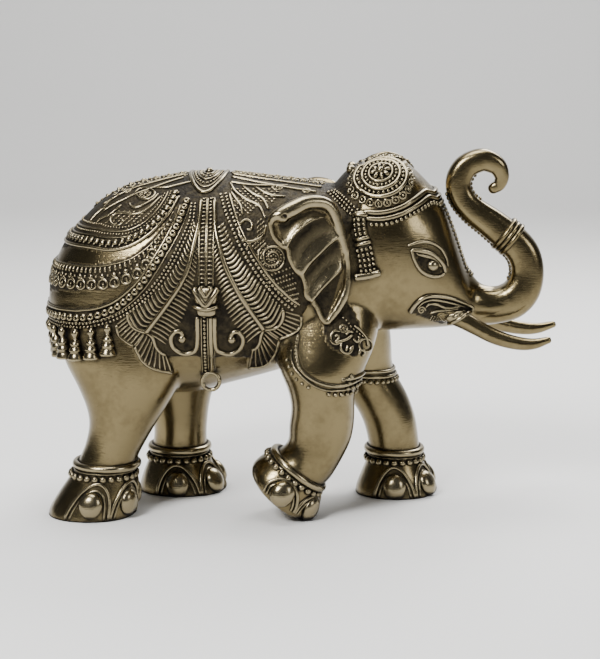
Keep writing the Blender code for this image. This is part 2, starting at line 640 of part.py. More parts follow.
def add_face(bm, ground, side):
    """Eye, brow and the leaf around the tusk's root."""
    a, b = EYE_CENTRE
    long_half, short_half = EYE_SIZE
    lids = []
    for i in range(17):
        angle = 2 * math.pi * i / 16
        lid = Vector((long_half * math.cos(angle), short_half * math.sin(angle)))
        lid.rotate(Matrix.Rotation(EYE_TILT, 2))
        lids.append((a + lid.x, b + lid.y))
    add_cord(bm, ground, lids, side, LID, 30)
    ball, _ = ground.hit(a, b, side)
    add_ball(bm, ball, EYEBALL * UNIT)
    add_cord(bm, ground, BROW, side, LID, 16)
    add_cord(bm, ground, LEAF + LEAF[:1], side, LID, 40)
    add_bar(bm, ground, LEAF_SPINE, side, LEAF_WIDTH, 1.6)


def add_brow_strip(bm, ground):
    """The ornament that runs down the middle of the forehead."""
    found = [ground.tree.ray_cast(place(HEAD_MIDDLE_X, 0, z), Vector((1, 0, 0)))[:2] for z in BROW_STRIP]
    add_tube(bm, [p for p, n in found], [WIDE_CORD * UNIT] * len(found), 8, [n for p, n in found])


def add_hoop(bm, centre, u, v, cord):
    """A closed cord around a centre, with half axes u and v."""
    ring = oval(centre, u, v, 24)
    ring.append(ring[0])
    add_tube(bm, ring, [cord] * len(ring), 8, [(p - centre).normalized() for p in ring])


def add_band(bm, centre, axis, radius, cord):
    """A ring about an axis, such as the band on the raised trunk."""
    side = axis.cross(Vector((0, 1, 0))).normalized()
    up = side.cross(axis).normalized()
    add_hoop(bm, centre, side * radius, up * radius, cord)


def add_trunk_bands(bm):
    points, radii = trunk_line()
    target = place(TRUNK_BAND[0], 0, TRUNK_BAND[1])
    nearest = min(range(len(points)), key=lambda i: (points[i] - target).length)
    axis = (points[nearest + 1] - points[nearest - 1]).normalized()
    for shift in (-1.4, 1.4):
        add_band(bm, points[nearest] + axis * shift * UNIT, axis, radii[nearest] + 0.2 * UNIT, 1.2 * UNIT)


def leg_ring(stations, index):
    """Centre and half axes of one ring of a leg."""
    rear_x, rear_z, front_x, front_z, y, half = stations[index]
    rear, front = place(rear_x, y, rear_z), place(front_x, y, front_z)
    return (rear + front) / 2, (front - rear) / 2, place(0, half, 0)


def add_anklet(bm, stations, upper, lower):
    """A ring above a thinner one, between two rings of a leg."""
    centre, u, v = leg_ring(stations, upper)
    second = centre.lerp(leg_ring(stations, lower)[0], 0.6)
    add_hoop(bm, centre, u * 1.05, v * 1.05, 1.5 * UNIT)
    add_hoop(bm, second, u * 1.06, v * 1.06, 1.3 * UNIT)


def foot_wall(top, sole, angle, share):
    """A point of the foot's wall, at a share of the way from its top ring to its sole."""
    centre, u, v = (a.lerp(b, share) for a, b in zip(top, sole))
    return centre + u * math.cos(angle) + v * math.sin(angle)


def add_toenails(bm, stations, top_ring, sole_ring):
    """Round nails about the front and both sides of a foot, each under an arch."""
    top, top_u, top_v = leg_ring(stations, top_ring)
    sole, sole_u, sole_v = leg_ring(stations, sole_ring)
    for i in range(TOENAILS):
        angle = math.radians((i - (TOENAILS - 1) / 2) * TOENAIL_SPREAD)
        out = partial(foot_wall, (top, top_u, top_v), (sole, sole_u, sole_v), angle)
        nail = out(NAIL_LEVEL)
        normal = (nail - top.lerp(sole, NAIL_LEVEL)).normalized()
        add_ball(bm, nail, NAIL * UNIT, 0.42, normal)
        down = (out(1.0) - out(0.5)).normalized()
        across = normal.cross(down).normalized()
        arch = []
        for k in range(13):
            turn = math.pi * k / 12
            sideways, drop = ARCH_WIDTH * math.cos(turn), ARCH_DROP - ARCH_RISE * math.sin(turn)
            arch.append(nail + (across * sideways + down * drop) * UNIT)
        centre = top.lerp(sole, NAIL_LEVEL)
        snapped = []
        for p in arch:
            level = (p - top).dot(sole - top) / (sole - top).length_squared
            middle = top.lerp(sole, level)
            u, v = top_u.lerp(sole_u, level), top_v.lerp(sole_v, level)
            ray = p - middle
            reach = math.hypot(ray.dot(u) / u.length_squared, ray.dot(v) / v.length_squared)
            snapped.append(middle + ray / max(reach, 0.2))
        add_tube(bm, snapped, [ARCH_CORD * UNIT] * 13, 8, [(p - centre).normalized() for p in snapped])


def add_collars(bm, ground):
    """The festoon on the near shoulder, the band on the far leg and the scrolls between."""
    add_cord(bm, ground, COLLAR, -1, WIDE_CORD, 26)
    centre, u, v = leg_ring(FAR_FRONT, 2)
    add_hoop(bm, centre, u * 1.02, v * 1.02, WIDE_CORD * UNIT)
    for a, b, size in CHEST_SCROLLS:
        for side in (-1, 1):
            add_ring(bm, ground, a, b, size * 0.6, side, 1.0)


def elephant_mesh():
    skin = body_skin()
    raise_blanket(skin)
    ground = Ground(skin)
    bm = bmesh.new()
    for side in (-1, 1):
        add_side_panels(bm, ground, side)
        add_headdress(bm, ground, side)
        add_face(bm, ground, side)
        add_ear(bm, side)
    add_limbs(bm, 1.0)
    add_brow_strip(bm, ground)
    add_rump_cords(bm, ground)
    add_spine_disc(bm, ground)
    add_crest_cords(bm, ground)
    add_tassels(bm, ground)
    add_collars(bm, ground)
    add_trunk_bands(bm)
    add_anklet(bm, NEAR_HIND, 6, 7)
    add_anklet(bm, FAR_HIND, 5, 6)
    add_anklet(bm, FAR_FRONT, 5, 6)
    add_anklet(bm, NEAR_FRONT, 7, 8)
    add_toenails(bm, NEAR_HIND, 7, 10)
    add_toenails(bm, FAR_HIND, 6, 9)
    add_toenails(bm, FAR_FRONT, 6, 9)
    add_toenails(bm, NEAR_FRONT, 8, 11)
    bm.from_mesh(skin)
    bpy.data.meshes.remove(skin)
    return melted(mesh_from(bm, "elephant"), RELIEF_VOXEL, 2)


def lightened(mesh):
    """The mesh with far fewer triangles, cut flat at the soles."""
    holder = bpy.data.objects.new("lightening", mesh)
    bpy.context.scene.collection.objects.link(holder)
    lighten = holder.modifiers.new("Lighten", "DECIMATE")
    triangles = sum(len(p.vertices) - 2 for p in mesh.polygons)
    lighten.ratio = TRIANGLES / triangles
    lighten.use_collapse_triangulate = True
    bpy.context.view_layer.update()
    result = bpy.data.meshes.new_from_object(holder.evaluated_get(bpy.context.evaluated_depsgraph_get()))
    bpy.data.objects.remove(holder)
    bpy.data.meshes.remove(mesh)
    bm = bmesh.new()
    bm.from_mesh(result)
    everything = bm.verts[:] + bm.edges[:] + bm.faces[:]
    bmesh.ops.bisect_plane(
        bm, geom=everything, dist=1e-7, plane_co=(0, 0, 0), plane_no=(0, 0, 1), clear_inner=True
    )
    edges = [e for e in bm.edges if e.is_boundary]
    bmesh.ops.holes_fill(bm, edges=edges, sides=0)
    bmesh.ops.triangulate(bm, faces=bm.faces)
    bm.to_mesh(result)
    bm.free()
    return result


def brass():
    material = bpy.data.materials.new("brass")
    material.use_nodes = True
    shader = material.node_tree.nodes["Principled BSDF"]
    shader.inputs["Base Color"].default_value = BRASS_COLOUR
    shader.inputs["Metallic"].default_value = 1.0
    shader.inputs["Roughness"].default_value = BRASS_ROUGHNESS
    return material


def main():
    for old in list(bpy.data.objects):
        bpy.data.objects.remove(old)
    mesh = lightened(elephant_mesh())
    mesh.name = "elephant"
    mesh.materials.clear()
    mesh.materials.append(brass())
    statue = bpy.data.objects.new("elephant", mesh)
    bpy.context.scene.collection.objects.link(statue)
    mesh.shade_smooth()
    mesh.set_sharp_from_angle(angle=SOFT_EDGE)


main()
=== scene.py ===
"""Visual model of the brass elephant: the casting with all its carving, its patina with painted shade and
highlights, lights and camera.

Lengths are in millimetres and turned into metres by place() and UNIT.
"""

import math
from bisect import bisect_right

import bmesh
import bpy
from mathutils import Matrix, Vector
from mathutils.bvhtree import BVHTree


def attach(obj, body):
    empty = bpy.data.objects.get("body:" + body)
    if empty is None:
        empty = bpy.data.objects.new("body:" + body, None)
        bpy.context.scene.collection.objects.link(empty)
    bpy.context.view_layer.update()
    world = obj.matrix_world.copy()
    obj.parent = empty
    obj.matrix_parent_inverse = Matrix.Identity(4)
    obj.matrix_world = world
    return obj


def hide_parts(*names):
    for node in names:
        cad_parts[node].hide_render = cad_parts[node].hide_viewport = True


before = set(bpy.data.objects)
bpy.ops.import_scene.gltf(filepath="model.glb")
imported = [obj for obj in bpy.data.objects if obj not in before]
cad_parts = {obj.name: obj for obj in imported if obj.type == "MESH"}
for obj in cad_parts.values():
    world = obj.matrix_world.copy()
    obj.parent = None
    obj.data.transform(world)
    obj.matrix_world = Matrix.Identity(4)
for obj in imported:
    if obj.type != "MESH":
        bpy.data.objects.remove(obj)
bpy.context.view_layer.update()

UNIT = 0.001
SKIN_VOXEL = 0.97
SKIN_MELT = 13
EAR_VOXEL = 0.5
GROUND_CUT = 3.0
BLANKET_RISE = 1.0
SKY = 200.0

# The eye that the side ornament is laid out from: a and b below are x and z on the centre plane.
EYE = Vector((42.8, -835.9, 218.6))

# Camera and stage: the frame is 659 pixels tall, and a pixel covers PIXEL metres at the statue.
FRAME_HEIGHT = 659
SENSOR_HEIGHT = 36.0
PIXEL = 0.000402
CAMERA_DISTANCE = 0.85
CAMERA_TURN = 3.0
CAMERA_RISE = 10.0
CAMERA_TARGET = (-1, 0, 71)
# Name, watts, size, place and target of each soft light, in metres.
LIGHTS = [
    ("key", 10.0, 0.26, (-0.35, -0.6, 0.62), (0.0, 0.0, 0.07)),
    ("fill", 1.8, 0.3, (0.7, -0.5, 0.4), (0.0, 0.0, 0.07)),
    ("rim", 5.0, 0.35, (0.25, 0.5, 0.55), (0.0, 0.0, 0.08)),
    ("top", 5.0, 0.4, (-0.05, -0.05, 0.8), (0.0, 0.0, 0.05)),
    ("backdrop", 16.0, 0.9, (0.0, 0.45, 1.2), (0.0, 1.25, 0.1)),
]

BRASS = (0.195, 0.155, 0.08, 1)
STAINED = (0.098, 0.074, 0.036, 1)
# Colour of the ornament: rubbed wear and painted highlight.
RUBBED_AND_HIGHLIGHT = (0.275, 0.23, 0.138, 1)
# Colour of recesses and of the dark ground: patina and painted shade.
PATINA_AND_SHADE = (0.011, 0.0085, 0.005, 1)
# Reach of the ambient occlusion that paints shade into recesses.
RECESS_REACH = 0.0032

# x, top, bottom and half width of the trunk of the body, from rump to neck.
TORSO = [
    (-100, 88, 80, 4), (-99.1, 95, 72, 13), (-96.8, 101, 64, 19.5), (-91.8, 109.5, 55, 26),
    (-81, 121, 50, 31.5), (-69, 128, 47, 34.5), (-57, 131, 45.5, 36), (-43, 133.2, 46, 36.5),
    (-30, 133.4, 49.5, 36.5), (-17, 132.2, 53, 35.5), (-5, 131, 56.5, 33.5), (8, 129.5, 60, 31),
    (20, 128, 66, 28), (32, 124, 72, 24),
]
# The same for the head, from nape to brow.
HEAD = [
    (12, 127, 84, 18), (17, 133.5, 79, 23), (23, 137.5, 74, 25.3), (30, 139.6, 72, 25.8),
    (37, 139.6, 71.5, 25.2), (43, 137, 72, 23.8), (49, 131.5, 72.3, 21.5), (54, 125.5, 72.6, 19),
    (58, 117, 73, 16.8), (61.5, 107.5, 73.5, 14.8), (64.5, 98.5, 74, 12.8), (67.5, 91, 74.4, 10),
]
# x, y, z and radius of the dome on each side of the head.
DOME = (33, 9.5, 126.5, 14.8)
# Each ring of a leg: x and z of its rear, x and z of its front, y of its middle, half width.
NEAR_HIND = [
    (-97, 82, -42, 84, -16, 18), (-94, 64, -43.5, 63, -18.5, 17.5), (-88, 51.5, -48.2, 51.5, -20, 16),
    (-84.6, 43, -53, 43, -20.4, 14.5), (-83.6, 36, -57.3, 36, -20.7, 13.3),
    (-85.2, 28.5, -61.6, 28.5, -21, 12.4), (-87.4, 23, -64.4, 23, -21, 12.4),
    (-90.4, 17, -65.6, 17, -21, 13), (-95.2, 10, -65, 10, -21, 15), (-99.8, 2.5, -65.8, 2.5, -21, 16.8),
    (-100.8, -GROUND_CUT, -66.2, -GROUND_CUT, -21, 17.2),
]
FAR_HIND = [
    (-88, 82, -34, 84, 16, 18), (-80, 62, -33.5, 61, 19, 17), (-71, 48, -36.5, 48, 20, 15.2),
    (-65, 37, -39.5, 37, 20.5, 13), (-63, 27.5, -40.8, 27.5, 21, 11.6), (-63.2, 20.5, -41, 20.5, 21, 11.6),
    (-64.6, 14.5, -40.4, 14.5, 21, 12.6), (-67.2, 8, -36.6, 8, 21, 15.2), (-69, 2, -33.6, 2, 21, 17),
    (-69.4, -GROUND_CUT, -33.2, -GROUND_CUT, 21, 17.4),
]
FAR_FRONT = [
    (-6, 84, 33, 86, 12, 14.5), (0, 68, 35.5, 65, 16.5, 15.2), (9, 54, 36.5, 52, 19.5, 14.2),
    (17.5, 41, 42.2, 41, 20, 12.8), (23.5, 31, 45.8, 31, 20, 11.6), (26.2, 21, 47.4, 20, 20.2, 11.2),
    (26, 15, 48.4, 15, 20.5, 12.2), (23.4, 8, 51.4, 8, 20.5, 14.8), (21.2, 2, 54, 2, 20.5, 16.5),
    (20.8, -GROUND_CUT, 54.4, -GROUND_CUT, 20.5, 16.9),
]
NEAR_FRONT = [
    (-13, 84, 30, 88, -13, 15.5), (-11, 71, 30.5, 73, -16.8, 16.2), (-8.4, 60, 25.4, 58.5, -20, 16),
    (-5, 51.5, 21.8, 49.5, -20.5, 14.5), (-3.4, 44, 21.7, 41, -21, 13.3), (-4.2, 36.5, 20.6, 32, -21, 12.7),
    (-4.4, 31, 17.4, 24.4, -21, 12.4), (-6.8, 27.4, 12.3, 15.6, -21, 12.4), (-10.4, 26, 8, 11.2, -21, 13),
    (-15, 24, 7.4, 7.2, -21, 14.4), (-18.6, 20.6, 6, 3, -21, 15.8), (-19, 17, 4, 0, -21, 16.3),
    (-17, 13.4, 1, -1, -21, 15.6),
]
# x, z and radius along the trunk, from the face to the tip of its curl.
TRUNK = [
    (56, 88, 14), (61.5, 85, 11.6), (68.5, 82.2, 8.8), (76.1, 81.6, 7.7), (83.2, 83.6, 7.4),
    (87.6, 88, 7.2), (89.4, 94.6, 6.7), (88.2, 101.5, 6.6), (84.6, 106.6, 6.5), (79.4, 111, 6.3),
    (73.8, 115.3, 5.9), (67.8, 119.6, 5.4), (63.6, 124.1, 5.1), (61.8, 128.8, 5.1), (62.3, 133.2, 5.1),
    (65.2, 137.3, 4.9), (71.2, 139.6, 4.6), (76.6, 137.4, 3.9), (78.7, 133.3, 3), (77.9, 130, 2.5),
    (75.6, 128.4, 2.2),
]
# x, z, distance from the centre plane and radius along a tusk.
TUSK = [
    (54, 81.5, 11, 3.6), (62.9, 78.2, 13.4, 3.5), (69.2, 75.1, 14.8, 3.2), (76.6, 71.6, 16.2, 3),
    (84.8, 69.5, 17.4, 2.7), (91.3, 69.3, 18, 2.2), (97.6, 71, 18.2, 1.3),
]
# Share of the trunk that is melted into the head; its thin curl keeps its gap.
TRUNK_MELTED = 0.7
FAR_TUSK_REACH = 4.2
TUSK_ROOT_X = 54.0
# x, z and radius down the tail, which hangs on the centre plane behind the hind legs.
TAIL = [
    (-95.6, 94, 2.6), (-98.4, 84, 2.6), (-98, 73, 2.3), (-93, 62, 2), (-87.6, 52, 1.8), (-84, 44, 3),
    (-82, 37, 1.2),
]

# Outline of the ear, from the front of its root over the top, down the scalloped edge and back.
EAR_TOP = [
    (18.3, 106.3), (16.6, 112.6), (14.8, 119.5), (12.7, 124.1), (9.3, 126.5), (3.3, 127.1), (-2.4, 125.1),
    (-7.3, 122.4), (-10.4, 119.6),
]
EAR_EDGE = [
    (-10.4, 119.6), (-9, 113.7), (-6, 110.1), (-3.6, 108.5), (-3, 105.2), (-1, 101), (1.8, 97.9), (3, 94.6),
    (3.3, 90.4), (5.3, 88.2), (7.4, 85.3), (9.1, 81.1), (11, 79),
]
EAR_FRONT = [(11, 79), (14.5, 83.9), (17.3, 89), (18.7, 93.8), (19.1, 100), (18.3, 106.3)]
EAR_LOBE = (-5.8, 121.4, 3)
EAR_ROOT_X = 21.0
EAR_ROOT_Y = 27.5
EAR_SPLAY = 0.37
EAR_THICK = 2.6
# Radii of the ear's rolled rim, of its thin rear edge and of its front edge, each from its first point on.
# A rim over the inset's radius grows inwards only.
EAR_RIM = [1.8, 2, 2.2, 2.35, 2.5, 2.8, 3.2, 3, 1]
EAR_EDGE_RIM = [1, 1.15, 1.1]
EAR_FRONT_RIM = [1.2, 1.8, 1.9, 1.5, 1.2, 1.5]
EAR_INSET = 2.0
# x, z and radius of the small pit drilled in the ear's lobe.
EAR_PIT = (-4.6, 121.9, 0.75)
FOLD_HEIGHT = 3.4
# Heights over the ear's plane between which a valley goes from painted highlight to painted shade.
VALLEY_TOP = 1.9
VALLEY_FLOOR = 0.3
# Crests of the ear's folds, each from the scalloped edge inward; a fold rises from one crest to the next.
EAR_CRESTS = [
    [(-7.5, 118.2), (-2.8, 119.8), (0.8, 122), (6, 123.4), (11, 121)],
    [(-4.2, 108.8), (-1.7, 113.3), (2, 117), (6, 119.5), (10, 120.4)],
    [(1.6, 98.2), (4.6, 102.8), (8.7, 106.9), (12, 110), (15.8, 112.6)],
    [(5.3, 87.8), (8.7, 92.2), (12.1, 95.7), (17, 100.4)],
]

# Hem of the blanket on a side, from the nape down and back to the rump.
BLANKET = [
    (26, 150), (22, 118), (13, 100), (6, 88), (-0.4, 77), (-2, 71), (-6.4, 67), (-9.2, 65.8), (-11.6, 60.6),
    (-15.3, 56.3), (-21.8, 54.9), (-20.6, 60), (-55, 60), (-52.6, 53.1), (-60, 54), (-64.6, 57.7),
    (-67.8, 63.6), (-75.2, 69.4), (-83, 71.6), (-91, 70.6), (-98, 71.6), (-120, 76), (-120, 150),
]

# The sweep that the statue stands on, in metres.
FLOOR_FRONT = -2.4
FLOOR_BACK = 1.0
FLOOR_HALF = 2.2
BEND = 0.35
WALL_TOP = 2.0
# The blanket ends over this level and behind this x.
GROUND_LOW = 50.0
GROUND_FRONT = 26.0
# Polished bands of the blanket, and patches off the blanket whose ground is painted dark for patina and
# painted shade, on the centre plane.
POLISHED = [
    [
        (-50, 120), (-55, 113), (-61, 107.5), (-69, 103.3), (-77, 101.8), (-86, 102.6), (-120, 104),
        (-120, 97.4), (-90, 97), (-84, 96.8), (-77, 97.6), (-69, 100), (-62, 105), (-56, 111.4),
        (-50.6, 119.6),
    ],
    [
        (-51.4, 116), (-54, 111), (-60.6, 100.4), (-64, 94.4), (-69, 90), (-76, 87), (-86, 86), (-120, 86),
        (-120, 79), (-91, 79), (-83, 80), (-74.4, 83.8), (-66.2, 91.2), (-58.6, 102), (-52, 113),
    ],
]
CHEST_GROUND = [
    (11, 79), (8, 71), (10, 65), (15, 61.5), (21, 60), (24.5, 62), (24, 68), (21.6, 77), (17, 84), (13, 82),
]

# Lines of the ornament on the centre plane, laid on the skin by sight from the eye.
SPINE_X = -37.0
SPINE_LENGTH = 7.2
SPINE_REACH = 20.5
STRIP = [(-37.9, 123.5), (-38.3, 111.3), (-38.7, 100.5), (-38.8, 88)]
STRIP_HALF = 2.75
KNOT = (-38.8, 84)
KNOT_WIDTH = 4.5
CUP = (-38.6, 78.4)
TAIL_STRIP = [(-38.3, 76), (-38.2, 64), (-37.9, 53.2)]
TAIL_HALF = 2.5
TAIL_RING_RADIUS = 3.5
TAIL_RING_AHEAD = 0.8
TAIL_RING_OUT = 0.5
LEFT_RIB = [(-40.5, 122.5), (-41.4, 114), (-43.1, 107), (-47.2, 92.4), (-55.1, 80.1), (-63.2, 69.3)]
LEFT_EDGE = [(-43.8, 114.5), (-47, 105), (-52.8, 94), (-60.6, 84.4), (-70.4, 77.2)]
LEFT_END = [(-70.7, 77.4), (-70.2, 74.1), (-68.3, 71.2), (-65.6, 69.9), (-63.2, 69.2)]
LEFT_UNDER = [(-41.9, 106), (-42.4, 97), (-44.2, 86), (-48.6, 74.5), (-55, 64.5)]
RIGHT_RIB = [(-35.2, 122.5), (-35, 114), (-33.9, 107), (-30.5, 95.6), (-24.8, 84.2), (-15.6, 70.9)]
RIGHT_EDGE = [(-31.2, 114), (-27.2, 104.5), (-21.6, 95.6), (-14.6, 87), (-7.8, 79.4)]
RIGHT_END = [(-7.7, 79), (-8, 75.4), (-9.8, 72.3), (-12.6, 71.2), (-15.5, 70.8)]
RIGHT_UNDER = [(-36.2, 106), (-35.4, 97), (-33.4, 86), (-29.2, 75.5), (-22.6, 65.5)]
SCROLL_RODS = [
    [
        (-42.4, 75.8), (-42.6, 64.2), (-44.6, 61.4), (-48.6, 60.9), (-52.2, 63.2), (-53.2, 66.8),
        (-51.4, 69.8), (-48.8, 69.4), (-48.6, 67),
    ],
    [
        (-35.5, 75.8), (-35.2, 64.2), (-33.2, 61.6), (-29, 60.9), (-25.1, 63.2), (-24, 66.8), (-25.8, 69.8),
        (-28.4, 69.4), (-28.6, 67),
    ],
]
LEFT_FANS = [
    (
        [(-70.5, 75.9), (-69.6, 73.2), (-67, 70.8), (-63.9, 69.2)],
        [(-75.3, 72.2), (-74.3, 68), (-71.4, 65.4), (-68.2, 63.7)], 8,
    ),
    (
        [(-64, 68.7), (-61.6, 67), (-59.4, 63.4), (-55.6, 60.2)],
        [(-67.7, 63.1), (-64.4, 57), (-59.6, 54.2), (-53.2, 52.9)], 9,
    ),
]
RIGHT_FANS = [
    (
        [(-7.4, 78.4), (-8, 75), (-10.4, 72.2), (-14.1, 70.8)],
        [(-0.6, 76.4), (-1, 72), (-4.7, 69), (-9.2, 67.2)], 8,
    ),
    (
        [(-14.8, 70.4), (-16, 68), (-17.4, 65.4), (-20, 62.8)],
        [(-9.4, 66.4), (-11.4, 60.8), (-15.1, 56.4), (-21.4, 55.2)], 8,
    ),
]
FAN_SPINES = [
    [(-63.2, 69.2), (-60.6, 67.2), (-59.6, 64), (-57.6, 61), (-55.2, 60)],
    [(-15.6, 70.9), (-16.8, 68.2), (-17.2, 65.6), (-18.8, 63.2), (-20.6, 62.6)],
]
RIGHT_CHAIN = [
    (-31.6, 125.2), (-29.9, 119), (-26.7, 110.8), (-22.5, 101.8), (-16.4, 92.6), (-10, 85.2), (-3.6, 80),
]
RIGHT_WIRE = [
    (-29.2, 125.6), (-27.2, 118.6), (-24, 110.2), (-18.9, 100.8), (-12.7, 91.4), (-5.3, 83.9), (-1, 81),
]
SHOULDER_CURLS = [
    [(-28.6, 126.4), (-26.8, 123.6), (-24.7, 120.6), (-23.9, 117.2)],
    [(-28.9, 130), (-26.8, 126.4), (-22.5, 123.2), (-17.5, 120.8), (-14.7, 115.8)],
    [(-23.9, 128.6), (-20.4, 125.8), (-16.1, 123.6), (-13.6, 119.4)],
    [(-18.9, 128.3), (-15.4, 126.1), (-11.1, 124.7), (-7, 124.6)],
    [(-28.9, 130.3), (-21.1, 129), (-13.2, 128.8), (-6, 128.9)],
    [
        (-14.6, 113), (-16, 108.6), (-21, 106.4), (-24.8, 108.2), (-25.4, 112.4), (-22.8, 115.2),
        (-20.2, 113.8), (-20.6, 111.2), (-22.6, 111.4),
    ],
]
SPIRAL = (-12, 100.2, 6.2)
SMALL_FLOWERS = [(-10.2, 128.2, 2), (-62.8, 125.2, 2.2), (-70, 126.4, 1.7), (1.5, 127, 1.6)]
HATCH_STEP = 2.1
HATCH_ROW = 0.95
# Outlines of hatched ground and the lean of their strokes in degrees.
HATCHED = [
    ([(-28, 122.5), (-26, 116), (-20, 118.6), (-14.5, 122.4), (-8, 123), (-9, 127.4), (-28, 128.4)], -35),
    (
        [
            (-23, 105.4), (-18.2, 102), (-18.6, 96.8), (-12.6, 92.4), (-15.6, 106.4), (-13, 114.6),
            (-17.6, 117), (-19, 106.8),
        ],
        60,
    ),
    ([(-80, 112.6), (-71, 112.4), (-65.6, 115), (-60, 120), (-68, 118.6), (-74, 118.4), (-78, 117)], 20),
]
SHOULDER_NET = [(-16.6, 91.4), (-5, 96), (-2, 83.6), (-6.4, 82.6)]
RUMP_CURLS = [
    [
        (-72, 115), (-72.5, 113.2), (-74.6, 112.5), (-76.6, 113.4), (-76.9, 115.2), (-75.5, 116.9),
        (-72.4, 117.7), (-67.3, 117.1), (-62.7, 118.7), (-59.1, 121.8), (-56.5, 124.3),
    ],
    [(-82.8, 113.4), (-80.2, 115.5), (-77.1, 117), (-74.5, 118.9), (-72.4, 120.7)],
    [(-69.3, 121.7), (-68.5, 120.1), (-66.2, 119.8), (-62.6, 121.3), (-59, 123.6), (-57.7, 125.4)],
    [(-85.3, 113.9), (-82.2, 117.3), (-78.6, 119.9), (-74.4, 121.2)],
    [(-79.6, 119.8), (-76.5, 122.7), (-72.3, 125.3)],
    [(-61, 127.6), (-53.9, 127.9), (-48.8, 129.1), (-44.1, 130.3)],
    [
        (-66.6, 126), (-64.6, 127.4), (-61, 127.2), (-58.8, 125.3), (-61, 123.3), (-64.8, 123.5),
        (-66.8, 125.4),
    ],
]

# Lines that run around the rump from side to side.
INNER_WIRE = [
    (-48.6, 120.6), (-52.6, 111.4), (-58.9, 100.6), (-66.4, 90), (-74.6, 82.6), (-83, 78.9), (-91, 77.8),
]
DISC_ROW = [
    (-46.2, 122.3), (-50.4, 112.2), (-57, 100.7), (-65.2, 88.4), (-74, 80.2), (-83, 75.9), (-91, 74.9),
]
CUBE_ROW = [
    (-43.6, 121.3), (-44.6, 114.4), (-48.2, 106.3), (-53.4, 96.4), (-60, 87.4), (-68, 79.8), (-77, 74.6),
    (-86, 72.2), (-91, 71.8),
]
LACE_RINGS = [
    (-60.2, 101.2), (-63.2, 96.4), (-66.6, 93.1), (-71.6, 90.7), (-76.7, 89.4), (-81.4, 88.8),
    (-85.8, 88.6), (-91, 88.8),
]
LACE_STARS = [
    (-57.6, 105.8), (-61.4, 100.3), (-65.6, 96.7), (-71.2, 94), (-77.2, 92.4), (-84, 91.8), (-90, 91.9),
]
LACE_PITCH = 4.9
LACE_BARS = [
    (-52.8, 114.6), (-57.4, 107.6), (-62.8, 101.8), (-69.6, 97.4), (-77.2, 95), (-84.6, 94.2), (-90, 94.5),
]
LACE_WIRE = [
    (-51.6, 118.2), (-56.6, 109.8), (-62.4, 103.6), (-69.4, 99), (-77.2, 96.7), (-84.6, 95.9), (-90, 96.2),
]
UPPER_WIRE = [
    (-49.4, 124.2), (-51.8, 119.8), (-55.6, 114.8), (-61.4, 109.2), (-69, 104.5), (-77.2, 102.7),
    (-85.8, 103.8),
]
BLOCK_ROW = [
    (-50.8, 125.6), (-52.4, 122.2), (-56.2, 116.8), (-61.4, 111.9), (-67.4, 108), (-73.5, 105.8),
    (-79.6, 105.4), (-84.4, 106.6),
]
THIN_WIRE = [
    (-51.2, 126.3), (-52.9, 122.7), (-56.2, 117.7), (-60.5, 112.9), (-66.3, 109.3), (-73.5, 107.6),
    (-80.7, 107.8), (-83.6, 108.4),
]
DOT_ROW_1 = [
    (-52.5, 126.3), (-53.9, 122.9), (-56.9, 118.6), (-60.5, 114.8), (-65.6, 111.1), (-72.1, 109.1),
    (-79.3, 109.3), (-82.6, 110),
]
SECOND_WIRE = [
    (-53.6, 126.3), (-55, 123.4), (-57.6, 119.6), (-61, 115.9), (-65.8, 112.4), (-71.8, 110.3),
    (-78.6, 110.4), (-81.6, 111.2),
]
DOT_ROW_2 = [
    (-55, 125.4), (-57.9, 121), (-61.4, 117.4), (-65.8, 113.9), (-71.3, 111.8), (-77.4, 112), (-80.6, 113),
]
REAR_STEPS = 40
# A laid line ends where its next spot lies further off than this.
LEAP = 5.0
# Steps to a span of a laid line, and how far off the centre plane a missed spot looks for the skin.
LAY_STEPS = 10
MISS_REACH = 8.0

# Points around the crest, dropped from the sky: x and distance from the centre plane.
CREST_WIRES = [
    [(-46.5, 5), (-58, 8.5), (-70, 11), (-78, 12)], [(-27.5, 5), (-16, 7.4), (-4, 8.6), (8, 9)],
    [(-46.5, 9), (-57, 13.5), (-68, 16.4), (-77, 17)], [(-27.5, 9), (-16, 12), (-4, 13.4), (6, 13.6)],
]
CREST_BOSSES = [[(-48, 0), (-60, 0), (-72, 0), (-82, 0)], [(-26, 0), (-12, 0), (6, 0)]]
CREST_BEADS = [[(-46.5, 2.6), (-60, 4.2), (-74, 6.2)], [(-27.5, 2.6), (-12, 3.8), (8, 4.6)]]

TASSEL_HUB_X = -72.0
TASSEL_FRONT_X = -73.4
TASSEL_STEP = 6.8
TASSEL_GAP = 1.4
TASSEL_DROP = 12.2
TASSEL_RADIUS = 2.95
# Reach of the ray that finds the skin behind a tassel's foot, and how far its foot stands off it.
TASSEL_RAY = 12.0
TASSEL_PROUD = 1.3
# Share of the drop and share of the radius down a tassel: ball, neck and three skirts.
TASSEL_PROFILE = [
    (-0.02, 0.15), (0.03, 0.38), (0.1, 0.53), (0.17, 0.53), (0.23, 0.4), (0.28, 0.26), (0.33, 0.3),
    (0.38, 0.55), (0.46, 0.72), (0.5, 0.74), (0.53, 0.55), (0.58, 0.7), (0.67, 0.92), (0.7, 0.93),
    (0.73, 0.72), (0.8, 0.88), (0.92, 1.14), (0.98, 1.15), (1, 0.95),
]

